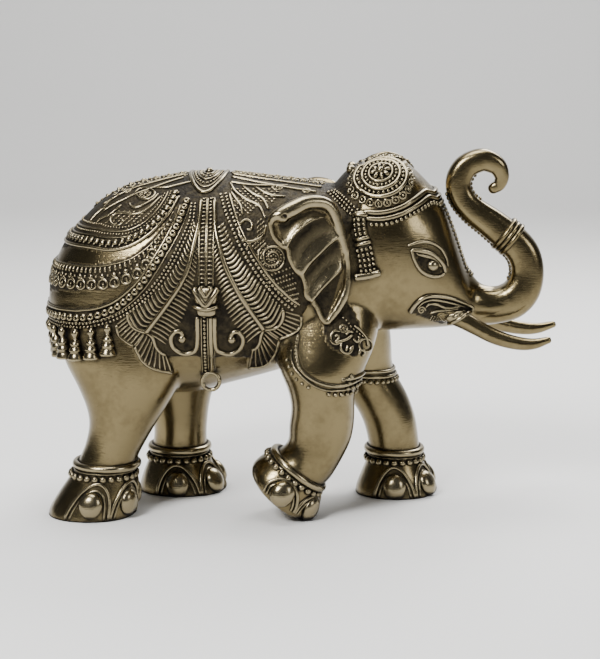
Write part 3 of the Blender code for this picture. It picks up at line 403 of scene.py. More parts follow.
# Headdress and face.
MEDALLION = (30.9, 134.8)
HEAD_KNOB = (19.4, 135.2)
HEADBAND = [(24.4, 118.6), (31.1, 118.4), (38.2, 120.3), (44, 123.8), (48.4, 127)]
HEADBAND_2 = [(25.2, 116), (32, 115.9), (39.6, 118), (45.6, 121.5), (49.8, 124.8)]
HEAD_BEADS = [
    (27.4, 113.6), (32.3, 113.7), (36.6, 114.7), (41, 116.6), (45.4, 118.9), (49.2, 121.2), (51.4, 122.6),
]
HEAD_TASSEL = [(23, 118.6), (22.9, 113.6), (23.6, 108.6), (24.7, 103), (25.6, 96), (25.8, 93.2)]
HEAD_MIDDLE_X = 36.0
BROW_TOP = 126.0
TASSEL_BAR = [(20.3, 92.5), (25.6, 93.4), (31, 94.9)]
TASSEL_STRAP = [(11.6, 126.6), (15.8, 123), (20, 119), (22.6, 117.4)]
TRUNK_BAND = (82.4, 110.2)
TRUNK_ROOT_STEPS = 24
UPPER_LID = [(43.3, 103.6), (46.6, 103.4), (50.3, 102.7), (53.5, 100.7), (56, 97.8), (56.9, 94.6)]
LOWER_LID = [(43.3, 103.6), (44.8, 99.4), (47.2, 95.4), (51, 93.3), (54.8, 93.2), (56.9, 94.6)]
BROW = [(41.8, 105.2), (46.4, 106.7), (51, 106.6), (54.9, 104.4), (57.1, 100.7), (57.9, 97)]
INNER_LID = [(45.4, 102), (49.6, 101), (52.6, 99.9), (55.2, 96.8)]
EYE_HOLLOW = [(44.4, 102.6), (49.8, 101.6), (54.6, 98.6), (56.2, 95), (51.6, 94), (47.2, 96.6)]
EYEBALL = (52, 97.4)
LEAF_OUT = [
    (42.9, 78.6), (45.7, 82.4), (49.4, 84.9), (54, 85.2), (59.5, 84.3), (64.1, 82.5), (67.8, 80.5),
    (66, 77.9), (62.8, 75.8), (58.9, 74.3), (55.6, 73.8), (51.8, 75), (48.1, 76.6),
]
LEAF_IN = [(45.8, 79.8), (48, 82.4), (51.7, 83.6), (56.7, 83), (61.3, 81.8), (65, 80.7)]
LEAF_MIDDLE = [(49.2, 80.5), (50.8, 82), (54, 81.8), (56.8, 80.6), (60.4, 80.4), (63.2, 81)]
LEAF_LOW = [(50.8, 78), (54, 79.2), (58.6, 79.4), (62.7, 79.9)]
LEAF_DOME = [(56.8, 76), (58.6, 77.6), (62.3, 78.8), (65.3, 78.8), (64, 77), (61, 75.6), (58.4, 75)]
LEAF_CURL = (47.6, 79.4, 1.6)
LEAF_STIPPLE = [(51.6, 76.4), (54.6, 76), (58, 77.6)]

# Festoon on the shoulder and scrolls on the chest.
FESTOON = [
    (-1.6, 68.6), (-2.4, 64), (-2.4, 60), (-1.3, 55.9), (0, 53.9), (2.7, 51.5), (6.7, 49.3), (11, 48.2),
    (15.1, 48.1), (18.4, 48.9), (21.4, 50.3),
]
FESTOON_OUTER = [
    (-4.4, 63), (-4.4, 59), (-2.9, 54.8), (0.7, 51), (5, 47.9), (10, 46.2), (15.7, 46.3), (20.4, 47.4),
]
FESTOON_BEADS = [(-6.2, 58.6), (-4.6, 53.8), (-2.7, 50.8), (-0.2, 48.8), (2.4, 47.2)]
FESTOON_DROPS = [(10.6, 44.6), (13.8, 44.4), (16.6, 44.7), (19.4, 45.3)]
CHEST_SCROLLS = [
    [(15, 70.3), (13, 70.7), (11.7, 69.3), (11.3, 67.2), (12.3, 65.5), (14, 65.2), (15.4, 66.2)],
    [(13, 68.2), (14, 68.9), (14.7, 67.9), (13.7, 66.6), (13, 65.9), (15, 66.2), (17.7, 67.1), (20, 69)],
    [(15.7, 65.9), (15.3, 63.5), (16.4, 61.8), (18.4, 61.4), (19.7, 62.9), (20.3, 64.6)],
    [(18.2, 64.7), (17.3, 62.4)],
    [(19.7, 64.3), (18.9, 62.4)],
    [(20.3, 67.3), (21.7, 66.1), (22.8, 67.2), (22.3, 68.4)],
    [(24.3, 63.6), (24.7, 61.6), (23.7, 60.6)],
    [(23.3, 63.6), (22.4, 61.2)],
    [(17.4, 69), (18.6, 70.4), (20.2, 70)],
    [(20.8, 72.6), (23.4, 70.6), (25.6, 67.6), (26, 64.6)],
]
CHEST_ROSETTE = (16.5, 71.5, 1.5)
CHEST_DOTS = [(16.3, 75.9), (18, 74.4), (19.6, 72), (21.6, 70.4), (24, 68.5)]
CHEST_RING = (25.2, 65, 2.6)

NAILS = 4
NAIL_STEP = 60.0
NAIL_RADIUS = 4.9
NAIL_LEVEL = 0.56
ARCH_HALF = 29.0
ARCH_RISE = 0.84

# Profiles of the studs: share of the radius and share of the height, from below the skin up.
BEAD = [(1, -0.35), (0.97, 0.2), (0.76, 0.64), (0.4, 0.92)]
CUBE = [(1, -0.3), (0.94, 0.72), (0.72, 1)]
DISC = [(1, -0.3), (1, 0.5), (0.86, 0.82), (0.6, 1), (0.4, 1), (0.3, 0.55), (0.12, 0.5)]
PETAL = [(1, -0.3), (0.9, 0.5), (0.55, 0.9)]
BARREL = [(1, -0.3), (1, 0.4), (0.92, 0.7), (0.7, 0.92), (0.4, 1)]
CUP_RIM = [(1, -0.3), (1, 0.8), (0.84, 1)]
CUP_KNOB = [(1, 0), (0.8, 0.5), (0.4, 0.6)]
# Share of its outline and height of each ring of a low pad.
PAD = [(1, -0.4), (0.98, 0.55), (0.86, 0.935), (0.6, 1.1), (0.3, 1.1)]

# In the tables below a wire's style is its radius, how far its middle stands off the skin as a share of that,
# its sides, the pitch of its rings, its flatness and the taper of its ends. A stud's style is its profile,
# radius, height, pitch, sides, stretch, squareness, margin at the row's ends and turn in degrees.
# Wires on each side: line, step it is laid with, style.
SIDE_WIRES = [(line, 0.8, 0.7, 0.4) for line in (LEFT_END, RIGHT_END)]
SIDE_WIRES += [(line, 0.8, 0.7, 0.3, 8, 0.9, 1, 0.3) for line in FAN_SPINES]
SIDE_WIRES += [(line, 0.6, 0.95, 0.3, 10, 0.7) for line in SCROLL_RODS]
SIDE_WIRES += [(line, 0.6, 0.6, 0.25, 8, 0.8, 1, 0.3) for line in SHOULDER_CURLS + RUMP_CURLS]
SIDE_WIRES += [(RIGHT_WIRE, 0.8, 0.55, 0.3)]
FACE_WIRES = [
    (UPPER_LID, 0.6, 1.15, 0.35, 10, 0.7, 0.9, 0.5), (LOWER_LID, 0.6, 0.9, 0.35, 10, 0.7, 1, 0.5),
    (INNER_LID, 0.6, 0.75, 0.3, 8, 0.7, 1, 0.5), (BROW, 0.6, 0.85, 0.2, 8, 0.8, 1, 0.6),
    (LEAF_OUT + LEAF_OUT[:1], 0.6, 0.85, 0.4, 8, 0.8), (LEAF_IN, 0.6, 0.5, 0.5, 8, 0.8, 1, 0.5),
    (LEAF_MIDDLE, 0.6, 0.6, 0.5, 8, 0.8, 1, 0.5), (LEAF_LOW, 0.6, 0.5, 0.5, 8, 0.8, 1, 0.5),
]
CHEST_WIRES = [(line, 0.5, 0.55, 0.6, 8, 0.6, 1, 0.2) for line in CHEST_SCROLLS]
FESTOON_WIRES = [(FESTOON, 0.8, 0.8, 0.35, 10), (FESTOON_OUTER, 0.8, 0.5, 0.35)]
RIB_WIRE = (0.95, 0.45, 10)
FAN_WIRE = (0.6, 0.3)
SCROLL_KNOB = (1.9, 2.3, 14)
CHAIN_CUBES = (CUBE, 0.62, 0.8, 1.7, 8, 1, 4)
CHAIN_SHIFT = 0.95
SPIRAL_WIRE = (0.45, 0.3, 8, 0.8)
SPIRAL_BEADS = (BEAD, 0.42, 0.5, 1.15, 6)
# Turns of the shoulder's spiral and of the beads inside it, their start in radians and the gap between them.
SPIRAL_TURNS = (2.6, 2.1)
SPIRAL_START = 2.0
SPIRAL_GAP = 1.3
SPIRAL_STEPS = 12
SPIRAL_SHRINK = 0.86
CIRCLE_STEPS = 16

# Points that the guide lines of a feather are split in, and for its upper and under barbs their number, the
# rib's point of the first and the points that they spread over.
GUIDE_POINTS = 200
BARBS = (25, 38, 158)
UNDER_BARBS = (26, 50, 149)
# Middle of an upper barb: its share of the way along, its share of the height, and how far it sags by the
# feather's tip; there the barb's own tip rises.
BARB_LEAN, BARB_BOW, BARB_SAG, BARB_TIP = 0.55, 0.22, 0.35, 0.4
UNDER_BARB_RISE = 0.5
BARB_STYLE = (0.62, 6, 1.1, 0.45)
UNDER_BARB_STYLE = (0.46, 6, 1, 0.5)
RAY_STYLE = (0.42, 6, 1.1, 0.3)

STRIP_RAILS = [(-STRIP_HALF, -0.2), (0.2, STRIP_HALF)]
RAIL_WIRE = (0.42, 0.5)
RUNG_LIFT = 0.3
RUNG_STYLE = (1.62, 0.36, 0.1)
TAIL_WIRE = (0.95, 0.2, 10, 1, 0.9)
TAIL_EDGE = (0.32, 0.4, 6)
TAIL_BEADS = (BEAD, 0.78, 0.9, 1.75, 8)
RING_WIRE = (0.85, 0.2, 8, 0.8)
RING_BEADS = (BEAD, 0.5, 0.5, 1.5, 6)
# Wires bent over the knot's barrel: marks of x and z from its middle, height, radius, sides and pitch.
KNOT_RADIUS = 3.8
KNOT_HEIGHT = 3.2
KNOT_WIRES = [
    ([(-KNOT_WIDTH, 3.4), (-2.6, 0.2), (0, -3), (2.6, 0.2), (KNOT_WIDTH, 3.4)], 2.9, 1.15, 10, 0.6),
    ([(-2.5, 3.9), (-1.3, 2), (0, 0.2), (1.3, 2), (2.5, 3.9)], 3.1, 0.75, 8, 0.7),
    ([(-KNOT_WIDTH, -3.6), (0, -4.5), (KNOT_WIDTH, -3.6)], 2.9, 0.8, 8, 0.7),
]
KNOT_BEND = 1.3
CUP_STYLE = (CUP_RIM, 1.9, 2.4, 20, 1.9, 3.4)
CUP_KNOB_STYLE = (CUP_KNOB, 0.5, 0.5, 8)
CUP_KNOB_LIFT = 2.3
# Shares of a flower's size: radius and height of its eye; reach, radius and height of its petals.
FLOWER_EYE = (0.42, 0.5)
FLOWER_PETAL = (0.68, 0.2, 0.3)
FLOWER_PETALS = 7
FLOWER_WIRE = 0.36
NET_ROWS = 9
NET_COLUMNS = 7
NET_SHIFT = 0.7
NET_BEAD = (BEAD, 0.5, 0.55, 6)
HATCH_STROKE = (PETAL, 0.3, 0.42, 6, 3)
HOOP_LIFT = 0.15
HOOP_SIDES = 6

# Wires and studs around the rump: line, shift to its side, style.
RUMP_WIRES = [
    (INNER_WIRE, 0, 0.75, 0.35, 10), (DISC_ROW, -2, 0.3, 0.4, 6), (LACE_WIRE, 0, 0.38, 0.3, 6),
    (UPPER_WIRE, 0, 0.7, 0.35, 10), (THIN_WIRE, 0, 0.42, 0.3, 6), (SECOND_WIRE, 0, 0.4, 0.3, 6),
]
RUMP_STUDS = [
    (DISC_ROW, 0, DISC, 1.52, 1.5, 3, 14),
    (CUBE_ROW, -0.72, CUBE, 0.5, 0.75, 1.55, 8, 1, 4),
    (CUBE_ROW, 0.72, CUBE, 0.5, 0.75, 1.55, 8, 1, 4),
    (LACE_RINGS, -0.5, PETAL, 0.42, 0.9, LACE_PITCH, 8, 3, 2, 0, 90),
    (LACE_RINGS, 2.2, BEAD, 0.6, 0.7, LACE_PITCH, 8, 1, 2, LACE_PITCH / 2),
    (LACE_STARS, 0, CUBE, 1.2, 0.9, LACE_PITCH, 8, 1, 1.1, LACE_PITCH / 2),
    (LACE_STARS, 0, BEAD, 0.6, 0.9, LACE_PITCH, 8),
    (LACE_BARS, 0, BEAD, 0.66, 1.1, 2.1, 8, 2, 2.4, 0, 90),
    (BLOCK_ROW, 0, CUBE, 1.15, 1.3, 2.8, 12, 1, 5),
    (BLOCK_ROW, -1.35, CUBE, 0.6, 0.9, 2.8, 8, 1, 1.3),
    (DOT_ROW_1, 0, BEAD, 0.5, 0.55, 1.3, 7),
    (DOT_ROW_2, 0, BEAD, 0.5, 0.55, 1.3, 7),
]
# Radius, thickness, pitch and sides of a row of rings.
LACE_HOOPS = (1.85, 0.62, LACE_PITCH, 16)

# Ovals of the boss on the back, as shares of its size, and their styles.
SADDLE_WIRES = [
    (1, 0.8, 0.3, 8, 0.8), (0.86, 0.4, 0.3, 8, 0.8), (0.6, 0.55, 0.3, 8, 0.8), (0.3, 0.45, 0.3, 8, 0.8),
]
SADDLE_STUDS = [(0.74, BEAD, 0.62, 0.75, 1.7, 8), (0.46, PETAL, 0.5, 0.7, 1.6, 8, 1.6, 2, 0, 90)]
SADDLE_KNOB = (BEAD, 1.6, 1.8, 14)
CREST_WIRE = (0.55, 0.3)
CREST_BEAD = (BEAD, 0.62, 0.7, 1.7, 8)
CREST_HOOPS = (1, 0.3, 3.4, 10)
CREST_HOOP_SHIFT = 2.0
BOSS_HOOPS = (1.7, 0.4, 5, 12)
BOSS_STUDS = [(BEAD, 0.9, 1.1, 5, 8), (PETAL, 0.5, 0.8, 5, 8, 1.6, 2, 2.5)]

# Rings around the medallion: degrees from its axis, style.
DOME_WIRES = [(19, 0.6, 0.35, 8, 0.7), (31, 0.8, 0.45, 8, 0.8), (43, 0.85, 0.45, 8, 0.8)]
DOME_STUDS = [
    (10.5, PETAL, 0.95, 1.7, 2, 10, 1.9, 2, 0, 90), (25, BEAD, 0.75, 0.9, 1.6, 8),
    (37, BEAD, 0.85, 1, 1.85, 8), (54, BEAD, 0.75, 1.2, 3.3, 8),
]
DOME_HOOPS = (54, 1.35, 0.6, 3.3, 12)
DOME_KNOB = (BEAD, 1.7, 2.4, 14)
HEAD_KNOB_STYLE = (BEAD, 2, 2.4, 12)
DOME_STEPS = 40
DOME_SKY = 30.0
BAND_WIRES = [(HEADBAND, 1.1, 0.35, 10), (HEADBAND_2, 1, 0.35, 10)]
BAND_BEADS = (BEAD, 0.95, 1.15, 2, 10)
# The band's way over the forehead: steps, and the spot that its rays start from under and aim in front of.
BAND_STEPS = 12
BAND_UNDER = 8.0
BAND_AHEAD = 6.0
BROW_COLUMNS = (-2.7, -0.9, 0.9, 2.7)
BROW_POINTS = 30
BROW_STEP = 1.1
BROW_BEADS = (BEAD, 0.8, 0.95, 1.75, 8)
STRAP_SHIFTS = (-1.5, 0, 1.5)
STRAP_BEADS = (BEAD, 0.75, 0.9, 1.7, 8)
TASSEL_CORE = (2.6, -0.3, 14, 1, 0.5)
# Collars down the head's tassel: share of its length, half width.
COLLARS = [(0.06, 3.1), (0.42, 3), (0.5, 3.2)]
COLLAR_WIRE = (0.8, 0.9, 8, 0.8)
COLLAR_BEND = 1.2
# Rows of beads down the head's tassel: share of its length, half width, beads, radius.
BEAD_ROWS = [(level, 1.7, 3, 0.85) for level in (0.14, 0.21, 0.28, 0.35)]
BEAD_ROWS += [(level, 2.5, 4, 0.8) for level in (0.59, 0.67, 0.75, 0.83, 0.91)]
ROW_RISE, ROW_BEND, ROW_LEAN, ROW_HEIGHT = 1.05, 0.75, 0.5, 1.15
CORE_RISE = 1.3
BAR_RISE = 1.8
BAR_WIRE = (1.45, 0.1, 12, 0.8)
EYEBALL_STYLE = (BEAD, 2.35, 2, 20, 1.1)
LEAF_CURL_TURNS = 1.6
LEAF_CURL_WIRE = (0.42, 0.5, 8, 0.6)
LEAF_BEADS = (BEAD, 0.42, 0.5, 1.1, 6)

CHEST_DOT_BEADS = (BEAD, 0.5, 0.8, 1.5, 8)
# The festoon's upper points that carry close beads, and the level and climb of its inner part on the leg.
FESTOON_BEADED = 20
FESTOON_BEAD = (BEAD, 0.75, 1.4, 1.5, 8)
FESTOON_OUTER_BEAD = (BEAD, 0.8, 0.9, 2.9, 10)
FESTOON_DROP = (BEAD, 1, 1.2, 2.7, 10)
INNER_LEVEL = 2.45
INNER_CLIMB = 0.4
INNER_START, INNER_END = -14, 170
INNER_WIRE_SHIFT = 2.0
INNER_DROP_SHIFT = 4.0
CHEST_RING_WIRE = (0.5, 0.5, 8, 0.7)

# Each foot: its leg, and the levels of its anklet and of its sole among the leg's rings.
FEET = [(NEAR_HIND, 7, 9.6), (FAR_HIND, 6, 8.6), (FAR_FRONT, 6, 8.6), (NEAR_FRONT, 8.4, 11)]
ALL_AROUND = range(0, 361, 9)
ANKLET_WIRE = (1.5, 0.35, 12, 1)
ANKLET_EDGE = (0.5, 0.3, 8, 1)
ANKLET_EDGE_SHIFT = 2.0
ANKLET_RISE = 0.55
ANKLET_BEADS = (BEAD, 1.5, 1.7, 3.2, 12)
ANKLET_BEAD_DROP = 0.1
NAIL_STYLE = (BEAD, NAIL_RADIUS, 2.9, 24, 1.12)
# Double arch over a nail: half width in degrees, rise as a share of the foot, radius of its wire.
ARCHES = [(ARCH_HALF, ARCH_RISE, 0.78), (ARCH_HALF - 6, ARCH_RISE - 0.14, 0.5)]
ARCH_FOOT = 0.97
ARCH_STEPS = 24
ARCH_POWER = 0.8
KNEE_LEVEL = 2.0
KNEE_SHIFTS = (0, 2.2)
KNEE_WIRE = (0.7, 0.4, 8, 1)
KNEE_BEAD_SHIFT = 4.2
KNEE_BEADS = (BEAD, 1.15, 1.3, 2.6, 10)
# How far outside a leg the rays to its skin start, as a share of its half axes.
LEG_REACH = 1.3

TRUNK_SIDES = 40
TRUNK_STEPS = 10
TRUNK_FIRST = 16
TRUNK_ROOT = 0.86
TRUNK_POWER = 2.9
BAND_POWER = 2.4
TIP_POWER = 2.3
TIP_SHARES = (0.35, 0.65, 0.85, 0.97)
# Points of the trunk's outer and inner edge that carry beads, and the style of these.
TRUNK_EDGES = [(1, 38, 112, BEAD, 0.75, 0.8, 1.7, 8), (-1, 96, 136, BEAD, 0.7, 0.7, 1.7, 8)]
TRUNK_ROWS = (-1.7, 0, 1.7)
TRUNK_EDGE_SHARE = 0.98
# The three rings of the trunk's band: shift along it, radius of the wire, height over the trunk.
TRUNK_BANDS = [(-1.9, 1, 0.3), (0, 0.9, 0.2), (1.9, 1, 0.3)]
# Steps to a span and sides of the tusks and the tail, in the melted skin and as pieces.
SKIN_TUSK, FINE_TUSK = (5, 14), (8, 24)
SKIN_TAIL, FINE_TAIL = (5, 10), (8, 20)
SKIN_TRUNK = (6, 20)
TUSK_TIP = 0.7
TUSK_TIP_SHARE = 0.6
TAIL_WAVE = (0.06, 2.2)

TORSO_POWER = 2.15
HEAD_POWER = 2.2
LEG_POWER = 2.15
SKIN_STEPS = 4
BODY_SIDES = 40
LEG_SIDES = 32
EAR_STEPS = 8
EAR_MELT = 3
EAR_RIM_SIDES = 14
EAR_LOBE_HEIGHT = 4.0
# Along a fold its rings, and across it the share of each point; it swells by a sine and ends a little past.
FOLD_RINGS = 33
FOLD_SHARES = (0, 0.2, 0.4, 0.6, 0.8, 0.94)
FOLD_SINE = (0.4, 0.6, 0.15, 0.75)
FOLD_CURVE = 1.7
FOLD_PAST = 0.06

# Scale and detail of the noises in the brass.
CLOUD = (55, 4)
SPECK = (420, 3)
FINE = (1500, 2)
STREAK = (260, 3)
STREAK_STRETCH = (1, 1, 9)
PITS = (900, 1)
STIPPLE = 1100.0
# Openness at which the patina and painted shade of recesses start and at which they are full.
PATINA_SHADE_FROM, PATINA_SHADE_FULL = 0.93, 0.5
SPECK_IN_PATINA_SHADE = 0.35
# Noise from which the dark ground, patina and painted shade, and the stains start and are full, and their
# strengths there.
GROUND_CLOUDS = (0.8, 1.2, 1, 0.82)
STAINS = (0.62, 0.98, 0, 0.55)
PIT_EDGE = (0.3, 0.36)
DARKENED_METAL = 0.85
ROUGH_NOISE = 0.12
CLEAN_ROUGH, DARKENED_ROUGH = 0.17, 0.55
# Shares of the bump's height, its strength and its depth in metres.
CLOUD_BUMP, SPECK_BUMP, STREAK_BUMP, PIT_BUMP, STIPPLE_BUMP = 1.4, 0.3, 0.3, 0.12, 1.6
BUMP_STRENGTH = 0.55
BUMP_DEPTH = 0.00022
FLOOR_COLOUR = (0.72, 0.715, 0.7, 1.0)
FLOOR_ROUGH = 0.7
FLOOR_DROP = 0.0002
ROOM_COLOUR = (0.62, 0.64, 0.68, 1.0)
ROOM_LIGHT = 0.13
BEND_STEPS = 12

NEAR, FAR = -1, 1
AHEAD = Vector((1, 0, 0))
OUTWARD = Vector((0, 1, 0))
UP = Vector((0, 0, 1))


def place(x, y, z):
    return Vector((x, y, z)) * UNIT


def shares(count):
    """Shares from 0 to 1 in the given number of steps."""
    return [i / count for i in range(count + 1)]


def smooth_curve(points, steps):
    """Points of a curve through the given ones, with the given number of steps to a span."""
    before = [2 * a - b for a, b in zip(points[0], points[1])]
    after = [2 * a - b for a, b in zip(points[-1], points[-2])]
    knots = [before, *points, after]
    out = []
    for i in range(1, len(knots) - 2):
        for t in shares(steps)[:-1]:
            out.append([
                b + 0.5 * t * (c - a + t * (2 * a - 5 * b + 4 * c - d + t * (3 * b - a - 3 * c + d)))
                for a, b, c, d in zip(knots[i - 1], knots[i], knots[i + 1], knots[i + 2])
            ])
    out.append(list(points[-1]))
    return out


def resample(points, count):
    """The given number of points, evenly spaced along a line of vectors."""
    runs = [0.0]
    for a, b in zip(points, points[1:]):
        runs.append(runs[-1] + (b - a).length)
    out = []
    j = 0
    for part in shares(count - 1):
        want = runs[-1] * part
        while j < len(points) - 2 and runs[j + 1] < want:
            j += 1
        share = (want - runs[j]) / max(runs[j + 1] - runs[j], 1e-12)
        out.append(points[j].lerp(points[j + 1], min(max(share, 0.0), 1.0)))
    return out


def flat_curve(line, steps):
    """Points of a curve through spots of the centre plane, as flat vectors."""
    return [Vector(spot) for spot in smooth_curve(line, steps)]


def headings(points):
    """Way ahead at each point of a line, from the point before it to the one after it."""
    return [b - a for a, b in zip([points[0], *points[:-1]], [*points[1:], points[-1]])]


def oval(centre, u, v, count, power=2.0):
    """A ring about a centre; a power over 2 makes it squarer."""
    out = []
    for share in shares(count)[:-1]:
        angle = 2 * math.pi * share
        c, s = math.cos(angle), math.sin(angle)
        c = math.copysign(abs(c) ** (2 / power), c)
        s = math.copysign(abs(s) ** (2 / power), s)
        out.append(centre + u * c + v * s)
    return out


def tube(points, radii, sides, power=2.0):
    """Rings of a tube whose line bends in an upright plane."""
    rings = []
    for p, r, ahead in zip(points, radii, headings(points)):
        out = ahead.cross(OUTWARD).normalized()
        rings.append(oval(p, out * r, out.cross(ahead).normalized() * r, sides, power))
    return rings


def centre_line(stations, steps):
    """Points and radii of a curve on the centre plane, through stations of x, z and radius."""
    curve = smooth_curve(stations, steps)
    return [place(x, 0, z) for x, z, _ in curve], [r * UNIT for *_, r in curve]


def tusk_line(side, steps):
    """Points and radii of a tusk; the far one reaches further."""
    reach = FAR_TUSK_REACH if side == FAR else 0
    stretch = 1 + reach / (TUSK[-1][0] - TUSK_ROOT_X)
    curve = smooth_curve(TUSK, steps)
    points = [place(TUSK_ROOT_X + (x - TUSK_ROOT_X) * stretch, side * y, z) for x, z, y, _ in curve]
    return points, [r * UNIT for *_, r in curve]


class Clay:
    """Corners and faces of a piece, gathered before its mesh is made."""

    def __init__(self):
        self.corners = []
        self.faces = []

    def loft(self, rings, closed=False):
        """Rings of equal count joined in one shell; open ends are capped."""
        start = len(self.corners)
        count = len(rings[0])
        for ring in rings:
            self.corners.extend(ring)
        pairs = [(start + r * count, start + (r + 1) * count) for r in range(len(rings) - 1)]
        if closed:
            pairs.append((start + (len(rings) - 1) * count, start))
        for low, high in pairs:
            for i in range(count):
                j = (i + 1) % count
                self.faces.append((low + i, low + j, high + j, high + i))
        if not closed:
            for base, ring in ((start, rings[0]), (start + (len(rings) - 1) * count, rings[-1])):
                hub = len(self.corners)
                self.corners.append(sum(ring, Vector()) / count)
                for i in range(count):
                    self.faces.append((base + i, base + (i + 1) % count, hub))

    def ball(self, centre, radius):
        bm = bmesh.new()
        bmesh.ops.create_icosphere(bm, subdivisions=2, radius=radius)
        bm.verts.index_update()
        start = len(self.corners)
        self.corners.extend(centre + v.co for v in bm.verts)
        self.faces.extend(tuple(start + v.index for v in face.verts) for face in bm.faces)
        bm.free()

    def mesh(self, name):
        mesh = bpy.data.meshes.new(name)
        mesh.from_pydata([tuple(c) for c in self.corners], [], self.faces)
        bm = bmesh.new()
        bm.from_mesh(mesh)
        bmesh.ops.recalc_face_normals(bm, faces=bm.faces)
        bm.to_mesh(mesh)
        bm.free()
        return mesh


class Path:
    """A line of spots, each a point and a normal, read by the run along it in metres."""

    def __init__(self, spots):
        self.points = [point for point, _ in spots]
        self.normals = [normal for _, normal in spots]
        for _ in range(2):
            threes = zip(self.normals, self.normals[1:], self.normals[2:])
            middle = [(a + b * 2 + c).normalized() for a, b, c in threes]
            self.normals = [self.normals[0], *middle, self.normals[-1]]
        self.runs = [0.0]
        for a, b in zip(self.points, self.points[1:]):
            self.runs.append(self.runs[-1] + max((b - a).length, 1e-9))
        self.length = self.runs[-1]

    def spots(self):
        return list(zip(self.points, self.normals))

    def at(self, run):
        """Point, normal and direction at a run."""
        i = min(max(bisect_right(self.runs, run) - 1, 0), len(self.points) - 2)
        share = (run - self.runs[i]) / (self.runs[i + 1] - self.runs[i])
        a, b = self.points[i], self.points[i + 1]
        before, after = self.points[max(i - 1, 0)], self.points[min(i + 2, len(self.points) - 1)]
        ahead = (b - before).lerp(after - a, share).normalized()
        return a.lerp(b, share), self.normals[i].lerp(self.normals[i + 1], share).normalized(), ahead

    def stops(self, pitch, margin=0.0):
        """Evenly spaced runs, about a pitch in millimetres apart."""
        span = self.length - 2 * margin * UNIT
        count = max(2, round(span / (pitch * UNIT)) + 1)
        return [margin * UNIT + span * share for share in shares(count - 1)]

    def beside(self, offset, rise=0.0):
        """The same line moved sideways along the skin, and off it, in millimetres."""
        spots = []
        for p, n, ahead in zip(self.points, self.normals, headings(self.points)):
            across = ahead.cross(n).normalized()
            spots.append((p + across * offset * UNIT + n * rise * UNIT, n))
        return Path(spots)

    def and_back(self, middle, other):
        """This line, then some spots, then the other line backwards."""
        return Path(self.spots() + middle + other.spots()[::-1])


class Ground:
    """The skin that ornament is laid on, found by rays."""

    def __init__(self, mesh):
        corners = [v.co.copy() for v in mesh.vertices]
        self.tree = BVHTree.FromPolygons(corners, [p.vertices[:] for p in mesh.polygons])

    def cast(self, start, way):
        return self.tree.ray_cast(start, way)[:2]

    def hit(self, a, b, side):
        """Point and normal seen from the eye at a spot of the centre plane."""
        eye = place(EYE.x, -side * EYE.y, EYE.z)
        target = place(a, 0, b)
        point, normal = self.cast(eye, (target - eye).normalized())
        if point is None:
            point, normal = self.tree.find_nearest(target + place(0, side * MISS_REACH, 0))[:2]
        return point, normal

    def lay(self, line, side, pitch=0.8):
        """A line of the centre plane laid on one side of the skin, cut where it would leap over a gap."""
        fine = flat_curve(line, LAY_STEPS)
        span = sum((q - p).length for p, q in zip(fine, fine[1:]))
        found = [self.hit(*spot, side) for spot in resample(fine, max(5, int(span / pitch) + 2))]
        runs = [[found[0]]]
        for before, spot in zip(found, found[1:]):
            if (spot[0] - before[0]).length > LEAP * UNIT:
                runs.append([])
            runs[-1].append(spot)
        return Path(max(runs, key=len))

    def around(self, line):
        """A line laid on one side, led level around the rump and laid back on the other side."""
        hub = place(TASSEL_HUB_X, 0, 0)
        near, far = self.lay(line, NEAR), self.lay(line, FAR)
        start, end = near.points[-1], far.points[-1]
        first = math.atan2(start.y, start.x - hub.x) + 2 * math.pi
        last = math.atan2(end.y, end.x - hub.x)
        rear = []
        for share in shares(REAR_STEPS)[1:-1]:
            turn = first + (last - first) * share
            out = Vector((math.cos(turn), math.sin(turn), 0))
            level = Vector((0, 0, start.z + (end.z - start.z) * share))
            rear.append(self.cast(hub + level + out * SKY * UNIT, -out))
        return near.and_back(rear, far)

    def across(self, line):
        """A line laid on one side of the head, led over the forehead and laid back on the other side."""
        near, far = self.lay(line, NEAR), self.lay(line, FAR)
        start, end = near.points[-1], far.points[-1]
        hub = Vector((HEAD_MIDDLE_X * UNIT, 0, start.z - BAND_UNDER * UNIT))
        brow = []
        for share in shares(BAND_STEPS)[1:-1]:
            aim = start.lerp(end, share) + place(BAND_AHEAD, 0, 0)
            brow.append(self.cast(hub, (aim - hub).normalized()))
        return near.and_back(brow, far)

    def under(self, line, side, steps=8):
        """A line of x and distance from the centre plane, dropped on the skin from the sky."""
        return Path([self.cast(place(x, side * y, SKY), -UP) for x, y in smooth_curve(line, steps)])

    def towards(self, start, centre):
        """Point and normal that a ray to a centre meets, or the ones nearest to its way."""
        point, normal = self.cast(start, (centre - start).normalized())
        if point is None:
            point, normal = self.tree.find_nearest(start.lerp(centre, 0.25))[:2]
        return point, normal


def wire(clay, path, radius, lift=0.2, sides=8, pitch=0.9, flat=1.0, taper=0.0, closed=False):
    """A wire along a path; taper is the share of its radius that its ends lose."""
    stops = path.stops(pitch)
    if closed:
        stops = stops[:-1]
    rings = []
    for i, run in enumerate(stops):
        p, n, ahead = path.at(run)
        across = ahead.cross(n).normalized()
        out = across.cross(ahead)
        share = i / (len(stops) - 1)
        r = radius * (1 - taper * abs(2 * share - 1) ** 3) * UNIT
        rings.append(oval(p + n * lift * radius * UNIT, across * r, out * r * flat, sides))
    clay.loft(rings, closed)


def frame_at(normal, ahead):
    """Unit vectors along and across on the skin."""
    across = ahead.cross(normal).normalized()
    return normal.cross(across).normalized(), across


def stud(clay, spot, normal, ahead, profile, radius, height, sides=10, stretch=1.0, power=2.0):
    """A turned stud on the skin; stretch makes it longer along ahead, and a power over 2 squarer."""
    along, across = frame_at(normal, ahead)
    along *= radius * stretch * UNIT
    across *= radius * UNIT
    clay.loft([
        oval(spot + normal * h * height * UNIT, along * r, across * r, sides, power) for r, h in profile
    ])


